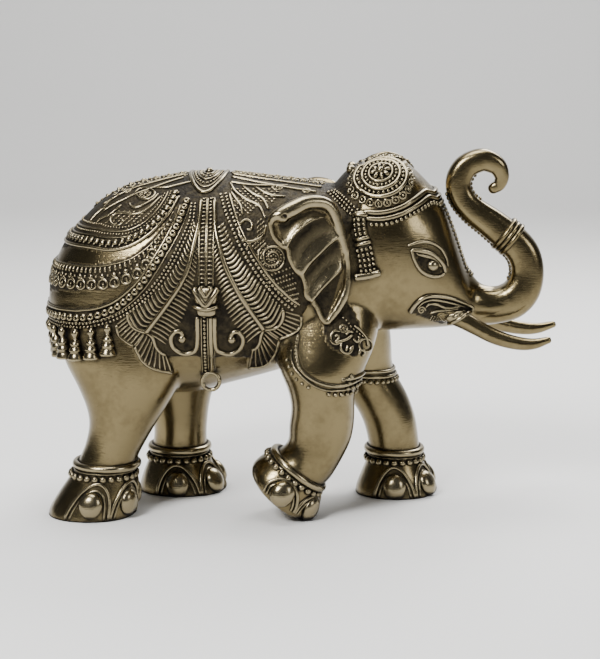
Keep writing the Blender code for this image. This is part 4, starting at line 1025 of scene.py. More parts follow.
def studs(clay, path, profile, radius, height, pitch, sides=10, stretch=1.0, power=2.0, margin=0.0, turn=0.0):
    """A row of studs along a path."""
    for run in path.stops(pitch, margin):
        p, n, ahead = path.at(run)
        if turn:
            ahead = Matrix.Rotation(math.radians(turn), 3, n) @ ahead
        stud(clay, p, n, ahead, profile, radius, height, sides, stretch, power)


def hoop(clay, spot, normal, ahead, radius, thick, sides):
    """A small ring that lies on the skin."""
    along, across = frame_at(normal, ahead)
    rings = []
    for share in shares(sides)[:-1]:
        angle = 2 * math.pi * share
        out = along * math.cos(angle) + across * math.sin(angle)
        middle = spot + (out * radius + normal * HOOP_LIFT * thick) * UNIT
        rings.append(oval(middle, out.normalized() * thick * UNIT, normal * thick * UNIT, HOOP_SIDES))
    clay.loft(rings, True)


def hoops(clay, path, radius, thick, pitch, sides):
    for run in path.stops(pitch):
        hoop(clay, *path.at(run), radius, thick, sides)


def rib(clay, ground, spots, side, radius, sides, flat, taper):
    """A short rib through three spots of the centre plane."""
    wire(clay, ground.lay(spots, side, 1.0), radius, 0.1, sides, 1.0, flat, taper)


def rungs(clay, one, other, pitch, radius, rise):
    """Short bars between two paths that run side by side."""
    for a, b in zip(one.stops(pitch), other.stops(pitch * other.length / one.length)):
        p, n, _ = one.at(a)
        q, m, _ = other.at(b)
        up = (n + m).normalized()
        across = (q - p).cross(up).normalized()
        shift = up * (radius * RUNG_LIFT + rise) * UNIT
        clay.loft([oval(e + shift, across * radius * UNIT, up * radius * UNIT, 6) for e in (p, q)])


def spiral(a, b, size, turns, start=0.0):
    """Points of a spiral on the centre plane, from its outside in."""
    count = int(turns * SPIRAL_STEPS)
    out = []
    for t in range(count + 1):
        radius = size * (1 - SPIRAL_SHRINK * t / count)
        angle = start + 2 * math.pi * t / SPIRAL_STEPS
        out.append((a + radius * math.cos(angle), b + radius * math.sin(angle)))
    return out


def circle(a, b, radius):
    turns = [2 * math.pi * share for share in shares(CIRCLE_STEPS)]
    return [(a + radius * math.cos(turn), b + radius * math.sin(turn)) for turn in turns]


def pad(clay, ground, outline, side):
    """A low domed patch inside an outline."""
    middle = sum((Vector(spot) for spot in outline), Vector((0, 0))) / len(outline)
    ring = flat_curve([*outline, outline[0]], 5)[:-1]
    rings = []
    for share, height in PAD:
        spots = [ground.hit(*middle.lerp(spot, share), side) for spot in ring]
        rings.append([point + normal * height * UNIT for point, normal in spots])
    clay.loft(rings)


def lay_wires(clay, ground, rows, side):
    for line, step, *style in rows:
        wire(clay, ground.lay(line, side, step), *style)


def feather(clay, ground, rib_line, edge_line, under_line, side):
    """Barbs that curl up from a rib to its band's edge, and thinner ones that droop on its other side."""
    lines = (rib_line, edge_line, under_line)
    guides = [resample(flat_curve(line, LAY_STEPS), GUIDE_POINTS) for line in lines]
    last = GUIDE_POINTS - 1
    count, first, span = BARBS
    for share in shares(count - 1):
        p, q = guides[0][int(first + span * share)], guides[1][int(last * share)]
        level = min(p.y, q.y) + abs(q.y - p.y) * BARB_BOW - BARB_SAG * share
        middle = (p.x + (q.x - p.x) * BARB_LEAN, level)
        rib(clay, ground, [tuple(p), middle, (q.x, q.y + BARB_TIP * share)], side, *BARB_STYLE)
    count, first, span = UNDER_BARBS
    for share in shares(count - 1):
        p, q = guides[0][int(first + span * share)], guides[2][int(last * share)]
        middle = ((p.x + q.x) / 2, (p.y + q.y) / 2 + UNDER_BARB_RISE)
        rib(clay, ground, [tuple(p), middle, tuple(q)], side, *UNDER_BARB_STYLE)
    wire(clay, ground.lay(rib_line, side), *RIB_WIRE)


def fan(clay, ground, root, rim, count, side):
    """Rays from a root line to a scalloped rim."""
    start, end = (resample(flat_curve(line, 8), count) for line in (root, rim))
    for p, q in zip(start, end):
        rib(clay, ground, [tuple(p), tuple((p + q) / 2), tuple(q)], side, *RAY_STYLE)
    wire(clay, ground.lay(rim, side), *FAN_WIRE)


def central_strip(clay, ground, side):
    """Twin ladders down the middle of the blanket, and the strip with a ring that hangs below them."""
    middle = ground.lay(STRIP, side)
    for pair in STRIP_RAILS:
        one, other = (middle.beside(offset) for offset in pair)
        wire(clay, one, *RAIL_WIRE)
        wire(clay, other, *RAIL_WIRE)
        rungs(clay, one, other, *RUNG_STYLE)
    tail = ground.lay(TAIL_STRIP, side)
    wire(clay, tail.beside(side * TAIL_HALF * 0.5), *TAIL_WIRE)
    studs(clay, tail.beside(-side * TAIL_HALF * 0.5), *TAIL_BEADS)
    for offset in (-TAIL_HALF, 0.0, TAIL_HALF):
        wire(clay, tail.beside(offset), *TAIL_EDGE)
    end, _, _ = tail.at(tail.length)
    centre = end + place(TAIL_RING_AHEAD, side * TAIL_RING_OUT, -TAIL_RING_RADIUS)
    out = Vector((0, side, 0))
    ring = Path([(centre + place(x, 0, z), out) for x, z in circle(0, 0, TAIL_RING_RADIUS)])
    wire(clay, ring, *RING_WIRE, closed=True)
    studs(clay, ring.beside(0, 0.55), *RING_BEADS)


def knot(clay, ground, side):
    """The barrel with a double V in it, over a small cup with a rim."""
    spot, normal = ground.hit(*KNOT, side)
    stretch = KNOT_WIDTH / KNOT_RADIUS
    stud(clay, spot, normal, AHEAD, BARREL, KNOT_RADIUS, KNOT_HEIGHT, 24, stretch, 2.5)
    for marks, height, radius, sides, pitch in KNOT_WIRES:
        spots = []
        for x, z in smooth_curve(marks, 4):
            lift = height - KNOT_BEND * (x / KNOT_WIDTH) ** 4
            spots.append((spot + (AHEAD * x + UP * z + normal * lift) * UNIT, normal))
        wire(clay, Path(spots), radius, 0.0, sides, pitch)
    cup, normal = ground.hit(*CUP, side)
    stud(clay, cup, normal, AHEAD, *CUP_STYLE)
    stud(clay, cup + normal * CUP_KNOB_LIFT * UNIT, normal, AHEAD, *CUP_KNOB_STYLE)


def side_blanket(clay, ground, side):
    """Feathers, fans, scrolls and strips on one side of the blanket."""
    feather(clay, ground, LEFT_RIB, LEFT_EDGE, LEFT_UNDER, side)
    feather(clay, ground, RIGHT_RIB, RIGHT_EDGE, RIGHT_UNDER, side)
    for root, rim, count in LEFT_FANS + RIGHT_FANS:
        fan(clay, ground, root, rim, count, side)
    lay_wires(clay, ground, SIDE_WIRES, side)
    for line in SCROLL_RODS:
        stud(clay, *ground.hit(*line[-1], side), AHEAD, BEAD, *SCROLL_KNOB)
    central_strip(clay, ground, side)
    knot(clay, ground, side)
    chain = ground.lay(RIGHT_CHAIN, side)
    for shift in (-CHAIN_SHIFT, CHAIN_SHIFT):
        studs(clay, chain.beside(shift), *CHAIN_CUBES)
    a, b, size = SPIRAL
    wire_turns, bead_turns = SPIRAL_TURNS
    wire(clay, ground.lay(spiral(a, b, size, wire_turns, SPIRAL_START), side, 0.5), *SPIRAL_WIRE)
    beads = spiral(a, b, size - SPIRAL_GAP, bead_turns, SPIRAL_START)
    studs(clay, ground.lay(beads, side, 0.5), *SPIRAL_BEADS)
    for spot in SMALL_FLOWERS:
        flower(clay, ground, *spot, side)
    net(clay, ground, side)
    for outline, lean in HATCHED:
        hatch(clay, ground, outline, side, lean)


def flower(clay, ground, a, b, size, side):
    spot, normal = ground.hit(a, b, side)
    radius, height = (size * share for share in FLOWER_EYE)
    stud(clay, spot, normal, AHEAD, BEAD, radius, height, 10)
    hoop(clay, spot, normal, AHEAD, size, FLOWER_WIRE, 16)
    along, across = frame_at(normal, AHEAD)
    reach, radius, height = (size * share for share in FLOWER_PETAL)
    for share in shares(FLOWER_PETALS)[:-1]:
        angle = 2 * math.pi * share
        out = along * math.cos(angle) + across * math.sin(angle)
        stud(clay, spot + out * reach * UNIT, normal, out, PETAL, radius, height, 8, 1.5)


def hatch(clay, ground, outline, side, lean):
    """Short low strokes over the ground inside an outline, all leaning one way."""
    low_a, high_a = min(a for a, _ in outline), max(a for a, _ in outline)
    low_b, high_b = min(b for _, b in outline), max(b for _, b in outline)
    turn = Vector((math.cos(math.radians(lean)), 0, math.sin(math.radians(lean))))
    for j in range(int((high_b - low_b) / HATCH_ROW)):
        for i in range(int((high_a - low_a) / HATCH_STEP)):
            a = low_a + (i + 0.5 * (j % 2)) * HATCH_STEP
            b = low_b + j * HATCH_ROW
            if inside(a, b, outline):
                stud(clay, *ground.hit(a, b, side), turn, *HATCH_STROKE)


def net(clay, ground, side):
    """Rows of small beads in the corner behind the ear."""
    top_left, top_right, low_right, low_left = (Vector(corner) for corner in SHOULDER_NET)
    for u in shares(NET_ROWS - 1):
        for j, v in enumerate(shares(NET_COLUMNS - 1)):
            spot = top_left.lerp(top_right, u).lerp(low_left.lerp(low_right, u), v)
            spot.x += NET_SHIFT if j % 2 else 0
            stud(clay, *ground.hit(*spot, side), AHEAD, *NET_BEAD)


def rump(clay, ground):
    """Borders and lace that run around the rump from one side to the other."""
    for line, shift, *style in RUMP_WIRES:
        path = ground.around(line)
        wire(clay, path.beside(shift) if shift else path, *style)
    for line, shift, *style in RUMP_STUDS:
        path = ground.around(line)
        studs(clay, path.beside(shift) if shift else path, *style)
    hoops(clay, ground.around(LACE_RINGS), *LACE_HOOPS)


def saddle(ground, share):
    """An oval on top of the back that reaches down both flanks."""
    reach = SPINE_REACH / SPINE_LENGTH
    return ground.under([(SPINE_X + x, y * reach) for x, y in circle(0, 0, SPINE_LENGTH * share)], FAR, 4)


def spine(clay, ground):
    """The boss on top of the back, and the wires and beads that run fore and aft from it."""
    for share, *style in SADDLE_WIRES:
        wire(clay, saddle(ground, share), *style, closed=True)
    for share, *style in SADDLE_STUDS:
        studs(clay, saddle(ground, share), *style)
    stud(clay, *ground.cast(place(SPINE_X, 0, SKY), -UP), AHEAD, *SADDLE_KNOB)
    for side in (NEAR, FAR):
        for line in CREST_WIRES:
            wire(clay, ground.under(line, side), *CREST_WIRE)
        for line in CREST_BEADS:
            row = ground.under(line, side)
            studs(clay, row, *CREST_BEAD)
            hoops(clay, row.beside(CREST_HOOP_SHIFT * side), *CREST_HOOPS)
    for line in CREST_BOSSES:
        middle = ground.under(line, FAR)
        hoops(clay, middle, *BOSS_HOOPS)
        for style in BOSS_STUDS:
            studs(clay, middle, *style)


def tassels(clay, ground):
    """Tassels around the rump under the blanket's hem."""
    hem = ground.around(CUBE_ROW)
    rear = [run for run in hem.stops(0.5) if hem.at(run)[0].x < TASSEL_FRONT_X * UNIT]
    count = round((rear[-1] - rear[0]) / (TASSEL_STEP * UNIT))
    for place_share in shares(count):
        top, normal, _ = hem.at(rear[0] + (rear[-1] - rear[0]) * place_share)
        out = Vector((normal.x, normal.y, 0)).normalized()
        start = top + out * UNIT - place(0, 0, TASSEL_GAP)
        foot, _ = ground.cast(start - place(0, 0, TASSEL_DROP) + out * TASSEL_RAY * UNIT, -out)
        end = Vector((foot.x, foot.y, start.z - TASSEL_DROP * UNIT)) + out * TASSEL_PROUD * UNIT
        down = (end - start).normalized()
        across = down.cross(out).normalized() * TASSEL_RADIUS * UNIT
        face_out = across.cross(down).normalized() * TASSEL_RADIUS * UNIT
        clay.loft([oval(start.lerp(end, share), across * r, face_out * r, 14) for share, r in TASSEL_PROFILE])


def dome(clay, ground, side):
    """The round medallion on a dome of the head, inside rings of beads and curls."""
    x, y, z, _ = DOME
    centre = place(x, side * y, z)
    boss, _ = ground.hit(*MEDALLION, side)
    axis = (boss - centre).normalized()
    one = axis.orthogonal().normalized()
    other = axis.cross(one).normalized()

    def ring(degrees):
        lean = math.radians(degrees)
        spots = []
        for share in shares(DOME_STEPS):
            turn = 2 * math.pi * share
            way = axis * math.cos(lean) + (one * math.cos(turn) + other * math.sin(turn)) * math.sin(lean)
            spots.append(ground.towards(centre + way * DOME_SKY * UNIT, centre))
        return Path(spots)

    stud(clay, boss, axis, one, *DOME_KNOB)
    for degrees, *style in DOME_WIRES:
        wire(clay, ring(degrees), *style, closed=True)
    for degrees, *style in DOME_STUDS:
        studs(clay, ring(degrees), *style)
    degrees, *style = DOME_HOOPS
    hoops(clay, ring(degrees), *style)
    stud(clay, *ground.hit(*HEAD_KNOB, side), one, *HEAD_KNOB_STYLE)


def headdress(clay, ground):
    """Headbands over the brow, the beads under them and what hangs before the ears."""
    for line, *style in BAND_WIRES:
        wire(clay, ground.across(line), *style)
    studs(clay, ground.across(HEAD_BEADS), *BAND_BEADS)
    for side in (NEAR, FAR):
        dome(clay, ground, side)
        head_tassel(clay, ground, side)
    for y in BROW_COLUMNS:
        levels = [BROW_TOP - i * BROW_STEP for i in range(BROW_POINTS)]
        column = Path([ground.cast(place(HEAD_MIDDLE_X, y, z), AHEAD) for z in levels])
        studs(clay, column, *BROW_BEADS)


def head_tassel(clay, ground, side):
    """A strap of beads before the ear, with collars and a round bar at its foot."""
    strap = ground.lay(TASSEL_STRAP, side)
    for offset in STRAP_SHIFTS:
        studs(clay, strap.beside(offset), *STRAP_BEADS)
    path = ground.lay(HEAD_TASSEL, side).beside(0, CORE_RISE)
    wire(clay, path, *TASSEL_CORE)
    for level, half in COLLARS:
        p, n, ahead = path.at(path.length * level)
        across = ahead.cross(n).normalized() * half
        marks = [(p + (across * t - n * COLLAR_BEND * t * t) * UNIT, n) for t in (-1, -0.5, 0, 0.5, 1)]
        wire(clay, Path(marks), *COLLAR_WIRE)
    for row in BEAD_ROWS:
        bead_row(clay, path, *row)
    wire(clay, ground.lay(TASSEL_BAR, side).beside(0, BAR_RISE), *BAR_WIRE)


def bead_row(clay, path, level, half, count, radius):
    """Beads side by side over the round front of the head's tassel."""
    p, n, ahead = path.at(path.length * level)
    across = ahead.cross(n).normalized()
    for share in shares(count - 1):
        t = 2 * share - 1
        spot = p + (across * half * t + n * (ROW_RISE - ROW_BEND * t * t)) * UNIT
        out = (n + across * t * ROW_LEAN).normalized()
        stud(clay, spot, out, ahead, BEAD, radius, radius * ROW_HEIGHT, 8)


def face(clay, ground, side):
    """Eye with its lids and brow, and the leaf around the tusk's root."""
    lay_wires(clay, ground, FACE_WIRES, side)
    stud(clay, *ground.hit(*EYEBALL, side), AHEAD, *EYEBALL_STYLE)
    pad(clay, ground, LEAF_DOME, side)
    wire(clay, ground.lay(spiral(*LEAF_CURL, LEAF_CURL_TURNS), side, 0.4), *LEAF_CURL_WIRE)
    stipple = ground.lay(LEAF_STIPPLE, side, 0.6)
    for offset in (-1, 0, 1):
        studs(clay, stipple.beside(offset), *LEAF_BEADS)


def chest(clay, ground):
    """Festoon on the shoulder and around the leg, and the scrolls before it."""
    for side in (NEAR, FAR):
        lay_wires(clay, ground, CHEST_WIRES, side)
        flower(clay, ground, *CHEST_ROSETTE, side)
        studs(clay, ground.lay(CHEST_DOTS, side, 0.5), *CHEST_DOT_BEADS)
    lay_wires(clay, ground, FESTOON_WIRES, NEAR)
    beaded = Path(ground.lay(FESTOON, NEAR).spots()[:FESTOON_BEADED])
    studs(clay, beaded, *FESTOON_BEAD)
    studs(clay, ground.lay(FESTOON_BEADS, NEAR), *FESTOON_OUTER_BEAD)
    studs(clay, ground.lay(FESTOON_DROPS, NEAR), *FESTOON_DROP)
    marks = [(INNER_LEVEL - INNER_CLIMB * a / INNER_END, a) for a in range(INNER_START, INNER_END + 1, 8)]
    inner = leg_path(ground, NEAR_FRONT, marks)
    _, _, *style = FESTOON_WIRES[0]
    wire(clay, inner, *style)
    _, _, *style = FESTOON_WIRES[1]
    wire(clay, inner.beside(INNER_WIRE_SHIFT), *style)
    studs(clay, inner.beside(INNER_DROP_SHIFT), *FESTOON_DROP)
    wire(clay, ground.lay(circle(*CHEST_RING), NEAR, 0.5), *CHEST_RING_WIRE, closed=True)


def leg_station(stations, level):
    """Centre and half axes of a leg at a level between two of its rings."""
    low = min(int(level), len(stations) - 2)
    share = level - low
    mixed = [a + (b - a) * share for a, b in zip(stations[low], stations[low + 1])]
    rear_x, rear_z, front_x, front_z, y, half = mixed
    rear, front = place(rear_x, y, rear_z), place(front_x, y, front_z)
    return (rear + front) / 2, (front - rear) / 2, place(0, half, 0)


def leg_spot(ground, stations, level, angle):
    """Point and normal of a leg's skin at a level and an angle from its front, in degrees."""
    centre, u, v = leg_station(stations, level)
    turn = math.radians(angle)
    out = u * math.cos(turn) + v * math.sin(turn)
    return ground.towards(centre + out * LEG_REACH, centre)


def leg_path(ground, stations, marks):
    return Path([leg_spot(ground, stations, level, angle) for level, angle in marks])


def foot(clay, ground, stations, top, sole):
    """Anklet, its row of beads and the nails of one foot, each under a double arch."""
    band = leg_path(ground, stations, [(top - ANKLET_RISE, a) for a in ALL_AROUND])
    wire(clay, band, *ANKLET_WIRE, closed=True)
    wire(clay, band.beside(ANKLET_EDGE_SHIFT), *ANKLET_EDGE, closed=True)
    beads = leg_path(ground, stations, [(top + ANKLET_BEAD_DROP, a) for a in ALL_AROUND])
    studs(clay, beads, *ANKLET_BEADS)
    for i in range(NAILS):
        angle = (i - (NAILS - 1) / 2) * NAIL_STEP
        level = top + (sole - top) * NAIL_LEVEL
        spot, normal = leg_spot(ground, stations, level, angle)
        down = leg_spot(ground, stations, level + 0.2, angle)[0] - spot
        stud(clay, spot, normal, down.normalized(), *NAIL_STYLE)
        for half, rise, thick in ARCHES:
            marks = []
            for part in shares(ARCH_STEPS):
                turn = math.pi * part
                share = ARCH_FOOT - rise * math.sin(turn) ** ARCH_POWER
                marks.append((top + (sole - top) * share, angle + half * math.cos(turn)))
            wire(clay, leg_path(ground, stations, marks), thick, 0.3, 8, 0.8)


def anklets_and_feet(clay, ground):
    for stations, top, sole in FEET:
        foot(clay, ground, stations, top, sole)
    band = leg_path(ground, FAR_FRONT, [(KNEE_LEVEL, a) for a in ALL_AROUND])
    for shift in KNEE_SHIFTS:
        wire(clay, band.beside(shift) if shift else band, *KNEE_WIRE, closed=True)
    studs(clay, band.beside(KNEE_BEAD_SHIFT), *KNEE_BEADS)


def trunk_piece():
    """The trunk with its flat facets, the bead rows on its edges and its double band."""
    clay = Clay()
    points, radii = centre_line(TRUNK, TRUNK_STEPS)
    sides = [
        (p, ahead.cross(OUTWARD).normalized(), r, ahead.normalized())
        for p, r, ahead in zip(points, radii, headings(points))
    ][TRUNK_FIRST:]
    rings = []
    for i, (p, outward, radius, _) in enumerate(sides):
        reach = radius * min(1.0, TRUNK_ROOT + (1 - TRUNK_ROOT) * i / TRUNK_ROOT_STEPS)
        rings.append(oval(p, outward * reach, OUTWARD * reach, TRUNK_SIDES, TRUNK_POWER))
    end, outward, radius, ahead = sides[-1]
    for share in TIP_SHARES:
        small = radius * math.sqrt(1 - share * share)
        tip = end + ahead * radius * share
        rings.append(oval(tip, outward * small, OUTWARD * small, TRUNK_SIDES, TIP_POWER))
    clay.loft(rings)
    for way, first, last, *style in TRUNK_EDGES:
        edge = Path([(p + o * r * TRUNK_EDGE_SHARE * way, o * way) for p, o, r, _ in sides])
        beaded = Path(edge.spots()[first:last])
        for row in TRUNK_ROWS:
            studs(clay, beaded.beside(row), *style)
    target = place(TRUNK_BAND[0], 0, TRUNK_BAND[1])
    middle, outward, radius, ahead = min(sides, key=lambda s: (s[0] - target).length)
    for shift, thick, proud in TRUNK_BANDS:
        centre = middle + ahead * shift * UNIT
        reach = radius + proud * UNIT
        ring = oval(centre, outward * reach, OUTWARD * reach, TRUNK_SIDES, BAND_POWER)
        path = Path([(p, (p - centre).normalized()) for p in [*ring, ring[0]]])
        wire(clay, path, thick, 0.0, 10, 1.0, closed=True)
    return clay


def tusk_piece():
    clay = Clay()
    steps, sides = FINE_TUSK
    for side in (NEAR, FAR):
        points, radii = tusk_line(side, steps)
        rings = tube(points, radii, sides)
        ahead = (points[-1] - points[-2]).normalized()
        rings.append([
            points[-1] + ahead * TUSK_TIP * UNIT + (corner - points[-1]) * TUSK_TIP_SHARE
            for corner in rings[-1]
        ])
        clay.loft(rings)
    return clay


def tail_piece():
    clay = Clay()
    steps, sides = FINE_TAIL
    points, radii = centre_line(TAIL, steps)
    depth, pace = TAIL_WAVE
    waved = [r * (1 + depth * math.sin(i * pace)) for i, r in enumerate(radii)]
    clay.loft(tube(points, waved, sides))
    return clay


def blended(values, share):
    """The value a share of the way along evenly spaced values."""
    reach = share * (len(values) - 1)
    low = min(int(reach), len(values) - 2)
    return values[low] + (values[low + 1] - values[low]) * (reach - low)


def ear_spot(side, a, b, out=0.0):
    """A spot of the splayed ear, raised off its plane."""
    return place(a, side * (EAR_ROOT_Y + (EAR_ROOT_X - a) * EAR_SPLAY + out), b)


def ear_rim(clay, side, line, widths):
    rings = []
    spots = [ear_spot(side, a, b) for a, b in line]
    for (a, b), share, ahead in zip(line, shares(len(line) - 1), headings(spots)):
        radius = blended(widths, share) * UNIT
        across = ahead.cross(OUTWARD * side).normalized()
        middle = ear_spot(side, a, b, 0.4) + across * side * max(radius - EAR_INSET * UNIT, 0)
        out = across.cross(ahead).normalized()
        rings.append(oval(middle, across * radius, out * radius, EAR_RIM_SIDES))
    clay.loft(rings)


def ear_fold(clay, side, low_line, high_line):
    """A fold that rises from one crest and drops sharply past the next."""
    low, high = (resample(flat_curve(line, EAR_STEPS), FOLD_RINGS) for line in (low_line, high_line))
    base, swell, start, span = FOLD_SINE
    rings = []
    for p, q, share in zip(low, high, shares(FOLD_RINGS - 1)):
        rise = FOLD_HEIGHT * (base + swell * math.sin(math.pi * (start + span * share)))
        past = q + (q - p) * FOLD_PAST
        ring = [ear_spot(side, *p, -1.0)]
        ring += [ear_spot(side, *p.lerp(q, t), 0.1 + rise * t ** FOLD_CURVE) for t in FOLD_SHARES]
        ring += [ear_spot(side, *q, rise), ear_spot(side, *past, rise * 0.5), ear_spot(side, *past, -1.0)]
        rings.append(ring)
    clay.loft(rings)


def ear_piece(side):
    """A splayed ear with a rolled rim and three sharp folds, melted a little."""
    clay = Clay()
    top, edge, front = (smooth_curve(line, EAR_STEPS) for line in (EAR_TOP, EAR_EDGE, EAR_FRONT))
    outline = top[:-1] + edge[:-1] + front[:-1]
    clay.loft([[ear_spot(side, a, b, out) for a, b in outline] for out in (-EAR_THICK, 0)])
    for line, widths in ((top, EAR_RIM), (edge, EAR_EDGE_RIM), (front, EAR_FRONT_RIM)):
        ear_rim(clay, side, line, widths)
    for low_line, high_line in zip(EAR_CRESTS, EAR_CRESTS[1:]):
        ear_fold(clay, side, low_line, high_line)
    a, b, radius = EAR_LOBE
    stud(clay, ear_spot(side, a, b), OUTWARD * side, AHEAD, BEAD, radius, EAR_LOBE_HEIGHT, 20)
    mesh = melted(clay.mesh("ear"), EAR_VOXEL, EAR_MELT)
    shade_ear(mesh, side)
    return mesh


def shade_ear(mesh, side):
    """Drill the pit in the lobe, and paint shade into the valleys between the folds and into the pit, and a
    highlight on the rest.
    """
    folds = EAR_CRESTS[1:]
    hollow = [*EAR_CRESTS[0], *(line[-1] for line in folds), EAR_EDGE[-1], *(line[0] for line in folds[::-1])]
    shades, bright = [], []
    for v in mesh.vertices:
        x, y, z = v.co / UNIT
        height = side * y - EAR_ROOT_Y - (EAR_ROOT_X - x) * EAR_SPLAY
        rise = min(max((height - VALLEY_FLOOR) / (VALLEY_TOP - VALLEY_FLOOR), 0.0), 1.0)
        pitted = math.dist((x, z), EAR_PIT[:2]) < EAR_PIT[2] and height > VALLEY_TOP
        if pitted:
            v.co.y -= side * EAR_PIT[2] * UNIT
        # Valleys and the pit get painted shade, the crests a painted highlight.
        shades.append(1.0 if pitted else 1.0 - rise if inside(x, z, hollow) else 0.0)
        bright.append(0.0 if pitted else rise)
    mark(mesh, "ground", shades)
    mark(mesh, "wear_and_highlight", bright)


def mark(mesh, name, values):
    """A value for each corner of a mesh, which the brass reads."""
    mesh.attributes.new(name, "FLOAT", "POINT").data.foreach_set("value", values)


def melted(mesh, voxel, steps):
    """The mesh remade as one skin, with its joins melted by a few steps of smoothing."""
    holder = bpy.data.objects.new("melting", mesh)
    bpy.context.scene.collection.objects.link(holder)
    remesh = holder.modifiers.new("One skin", "REMESH")
    remesh.mode = "VOXEL"
    remesh.voxel_size = voxel * UNIT
    soften = holder.modifiers.new("Melt", "SMOOTH")
    soften.factor = 0.5
    soften.iterations = steps
    bpy.context.view_layer.update()
    result = bpy.data.meshes.new_from_object(holder.evaluated_get(bpy.context.evaluated_depsgraph_get()))
    bpy.data.objects.remove(holder)
    bpy.data.meshes.remove(mesh)
    return result


def body_skin():
    """The plain elephant under its ears and ornament, cut flat at its soles."""
    clay = Clay()
    for stations, power in ((TORSO, TORSO_POWER), (HEAD, HEAD_POWER)):
        rings = []
        for x, top, bottom, half in smooth_curve(stations, SKIN_STEPS):
            centre = place(x, 0, (top + bottom) / 2)
            rings.append(oval(centre, place(0, half, 0), place(0, 0, (top - bottom) / 2), BODY_SIDES, power))
        clay.loft(rings)
    for side in (NEAR, FAR):
        clay.ball(place(DOME[0], side * DOME[1], DOME[2]), DOME[3] * UNIT)
    for stations in (NEAR_HIND, FAR_HIND, NEAR_FRONT, FAR_FRONT):
        rings = []
        for rear_x, rear_z, front_x, front_z, y, half in smooth_curve(stations, SKIN_STEPS):
            rear, front = place(rear_x, y, rear_z), place(front_x, y, front_z)
            middle = (rear + front) / 2
            rings.append(oval(middle, (front - rear) / 2, place(0, half, 0), LEG_SIDES, LEG_POWER))
        clay.loft(rings)
    add_roots(clay)
    mesh = melted(clay.mesh("skin"), SKIN_VOXEL, SKIN_MELT)
    bm = bmesh.new()
    bm.from_mesh(mesh)
    everything = bm.verts[:] + bm.edges[:] + bm.faces[:]
    bmesh.ops.bisect_plane(bm, geom=everything, dist=1e-7, plane_co=(0, 0, 0), plane_no=UP, clear_inner=True)
    bmesh.ops.holes_fill(bm, edges=[e for e in bm.edges if e.is_boundary], sides=0)
    bm.to_mesh(mesh)
    bm.free()
    return mesh


def add_roots(clay):
    """Trunk, tusks and tail, which melt into the skin at their roots."""
    steps, sides = SKIN_TRUNK
    points, radii = centre_line(TRUNK, steps)
    kept = int(TRUNK_MELTED * len(points))
    clay.loft(tube(points[:kept], radii[:kept], sides))
    steps, sides = SKIN_TUSK
    for side in (NEAR, FAR):
        clay.loft(tube(*tusk_line(side, steps), sides))
    steps, sides = SKIN_TAIL
    clay.loft(tube(*centre_line(TAIL, steps), sides))


def inside(a, b, outline):
    """Whether a point of the centre plane lies inside an outline."""
    odd = False
    for (a0, b0), (a1, b1) in zip(outline, outline[1:] + outline[:1]):
        if (b0 > b) != (b1 > b) and a < (a1 - a0) * (b - b0) / (b1 - b0) + a0:
            odd = not odd
    return odd


def seen_at(point):
    """Where the eye on a point's own side sees it against the centre plane."""
    eye = Vector((EYE.x, math.copysign(EYE.y, point.y), EYE.z))
    p = point / UNIT
    t = eye.y / (eye.y - p.y)
    return eye.x + (p.x - eye.x) * t, eye.z + (p.z - eye.z) * t


def raise_blanket(mesh):
    """Lift the blanket off the skin, and mark the parts of it that are painted dark, for patina and painted
    shade.
    """
    shades = [0.0] * len(mesh.vertices)
    lifts = []
    for v in mesh.vertices:
        if v.co.z < GROUND_LOW * UNIT:
            continue
        a, b = seen_at(v.co)
        if v.co.x < GROUND_FRONT * UNIT and inside(a, b, BLANKET):
            lifts.append((v.index, v.normal * BLANKET_RISE * UNIT))
            # The blanket's ground outside the polished bands, and the chest, leaf and eye patches, are
            # painted dark: patina and painted shade.
            if not any(inside(a, b, band) for band in POLISHED):
                shades[v.index] = 1.0
        elif any(inside(a, b, patch) for patch in (CHEST_GROUND, LEAF_OUT, EYE_HOLLOW)):
            shades[v.index] = 1.0
    for index, lift in lifts:
        mesh.vertices[index].co += lift
    mark(mesh, "ground", shades)


class Shading:
    """Nodes of a material and the links between them."""

    def __init__(self, name):
        self.material = bpy.data.materials.new(name)
        self.material.use_nodes = True
        self.tree = self.material.node_tree
        self.shader = self.tree.nodes["Principled BSDF"]
        self.where = self.node("ShaderNodeTexCoord").outputs["Object"]

    def node(self, kind, **settings):
        made = self.tree.nodes.new(kind)
        for key, value in settings.items():
            setattr(made, key, value)
        return made

    def feed(self, socket, value):
        """Link a socket to another one, or give it a constant."""
        if isinstance(value, bpy.types.NodeSocket):
            self.tree.links.new(value, socket)
        else:
            socket.default_value = value

    def noise(self, scale, detail, stretch=(1, 1, 1)):
        mapping = self.node("ShaderNodeMapping")
        mapping.inputs["Scale"].default_value = stretch
        self.feed(mapping.inputs["Vector"], self.where)
        made = self.node("ShaderNodeTexNoise")
        made.inputs["Scale"].default_value = scale
        made.inputs["Detail"].default_value = detail
        self.feed(made.inputs["Vector"], mapping.outputs["Vector"])
        return made.outputs["Fac"]

    def ramp(self, source, low, high, start=0.0, end=1.0):
        made = self.node("ShaderNodeMapRange", interpolation_type="SMOOTHSTEP")
        for key, value in (("From Min", low), ("From Max", high), ("To Min", start), ("To Max", end)):
            made.inputs[key].default_value = value
        self.feed(made.inputs["Value"], source)
        return made.outputs["Result"]

    def maths(self, operation, one, other):
        made = self.node("ShaderNodeMath", operation=operation)
        self.feed(made.inputs[0], one)
        self.feed(made.inputs[1], other)
        return made.outputs["Value"]

    def times(self, one, other):
        return self.maths("MULTIPLY", one, other)

    def plus(self, first, *others):
        for other in others:
            first = self.maths("ADD", first, other)
        return first

    def blend(self, factor, one, other):
        made = self.node("ShaderNodeMix", data_type="RGBA")
        self.feed(made.inputs["Factor"], factor)
        self.feed(made.inputs[6], one)
        self.feed(made.inputs[7], other)
        return made.outputs[2]

    def value_of(self, attribute):
        return self.node("ShaderNodeAttribute", attribute_name=attribute).outputs["Fac"]


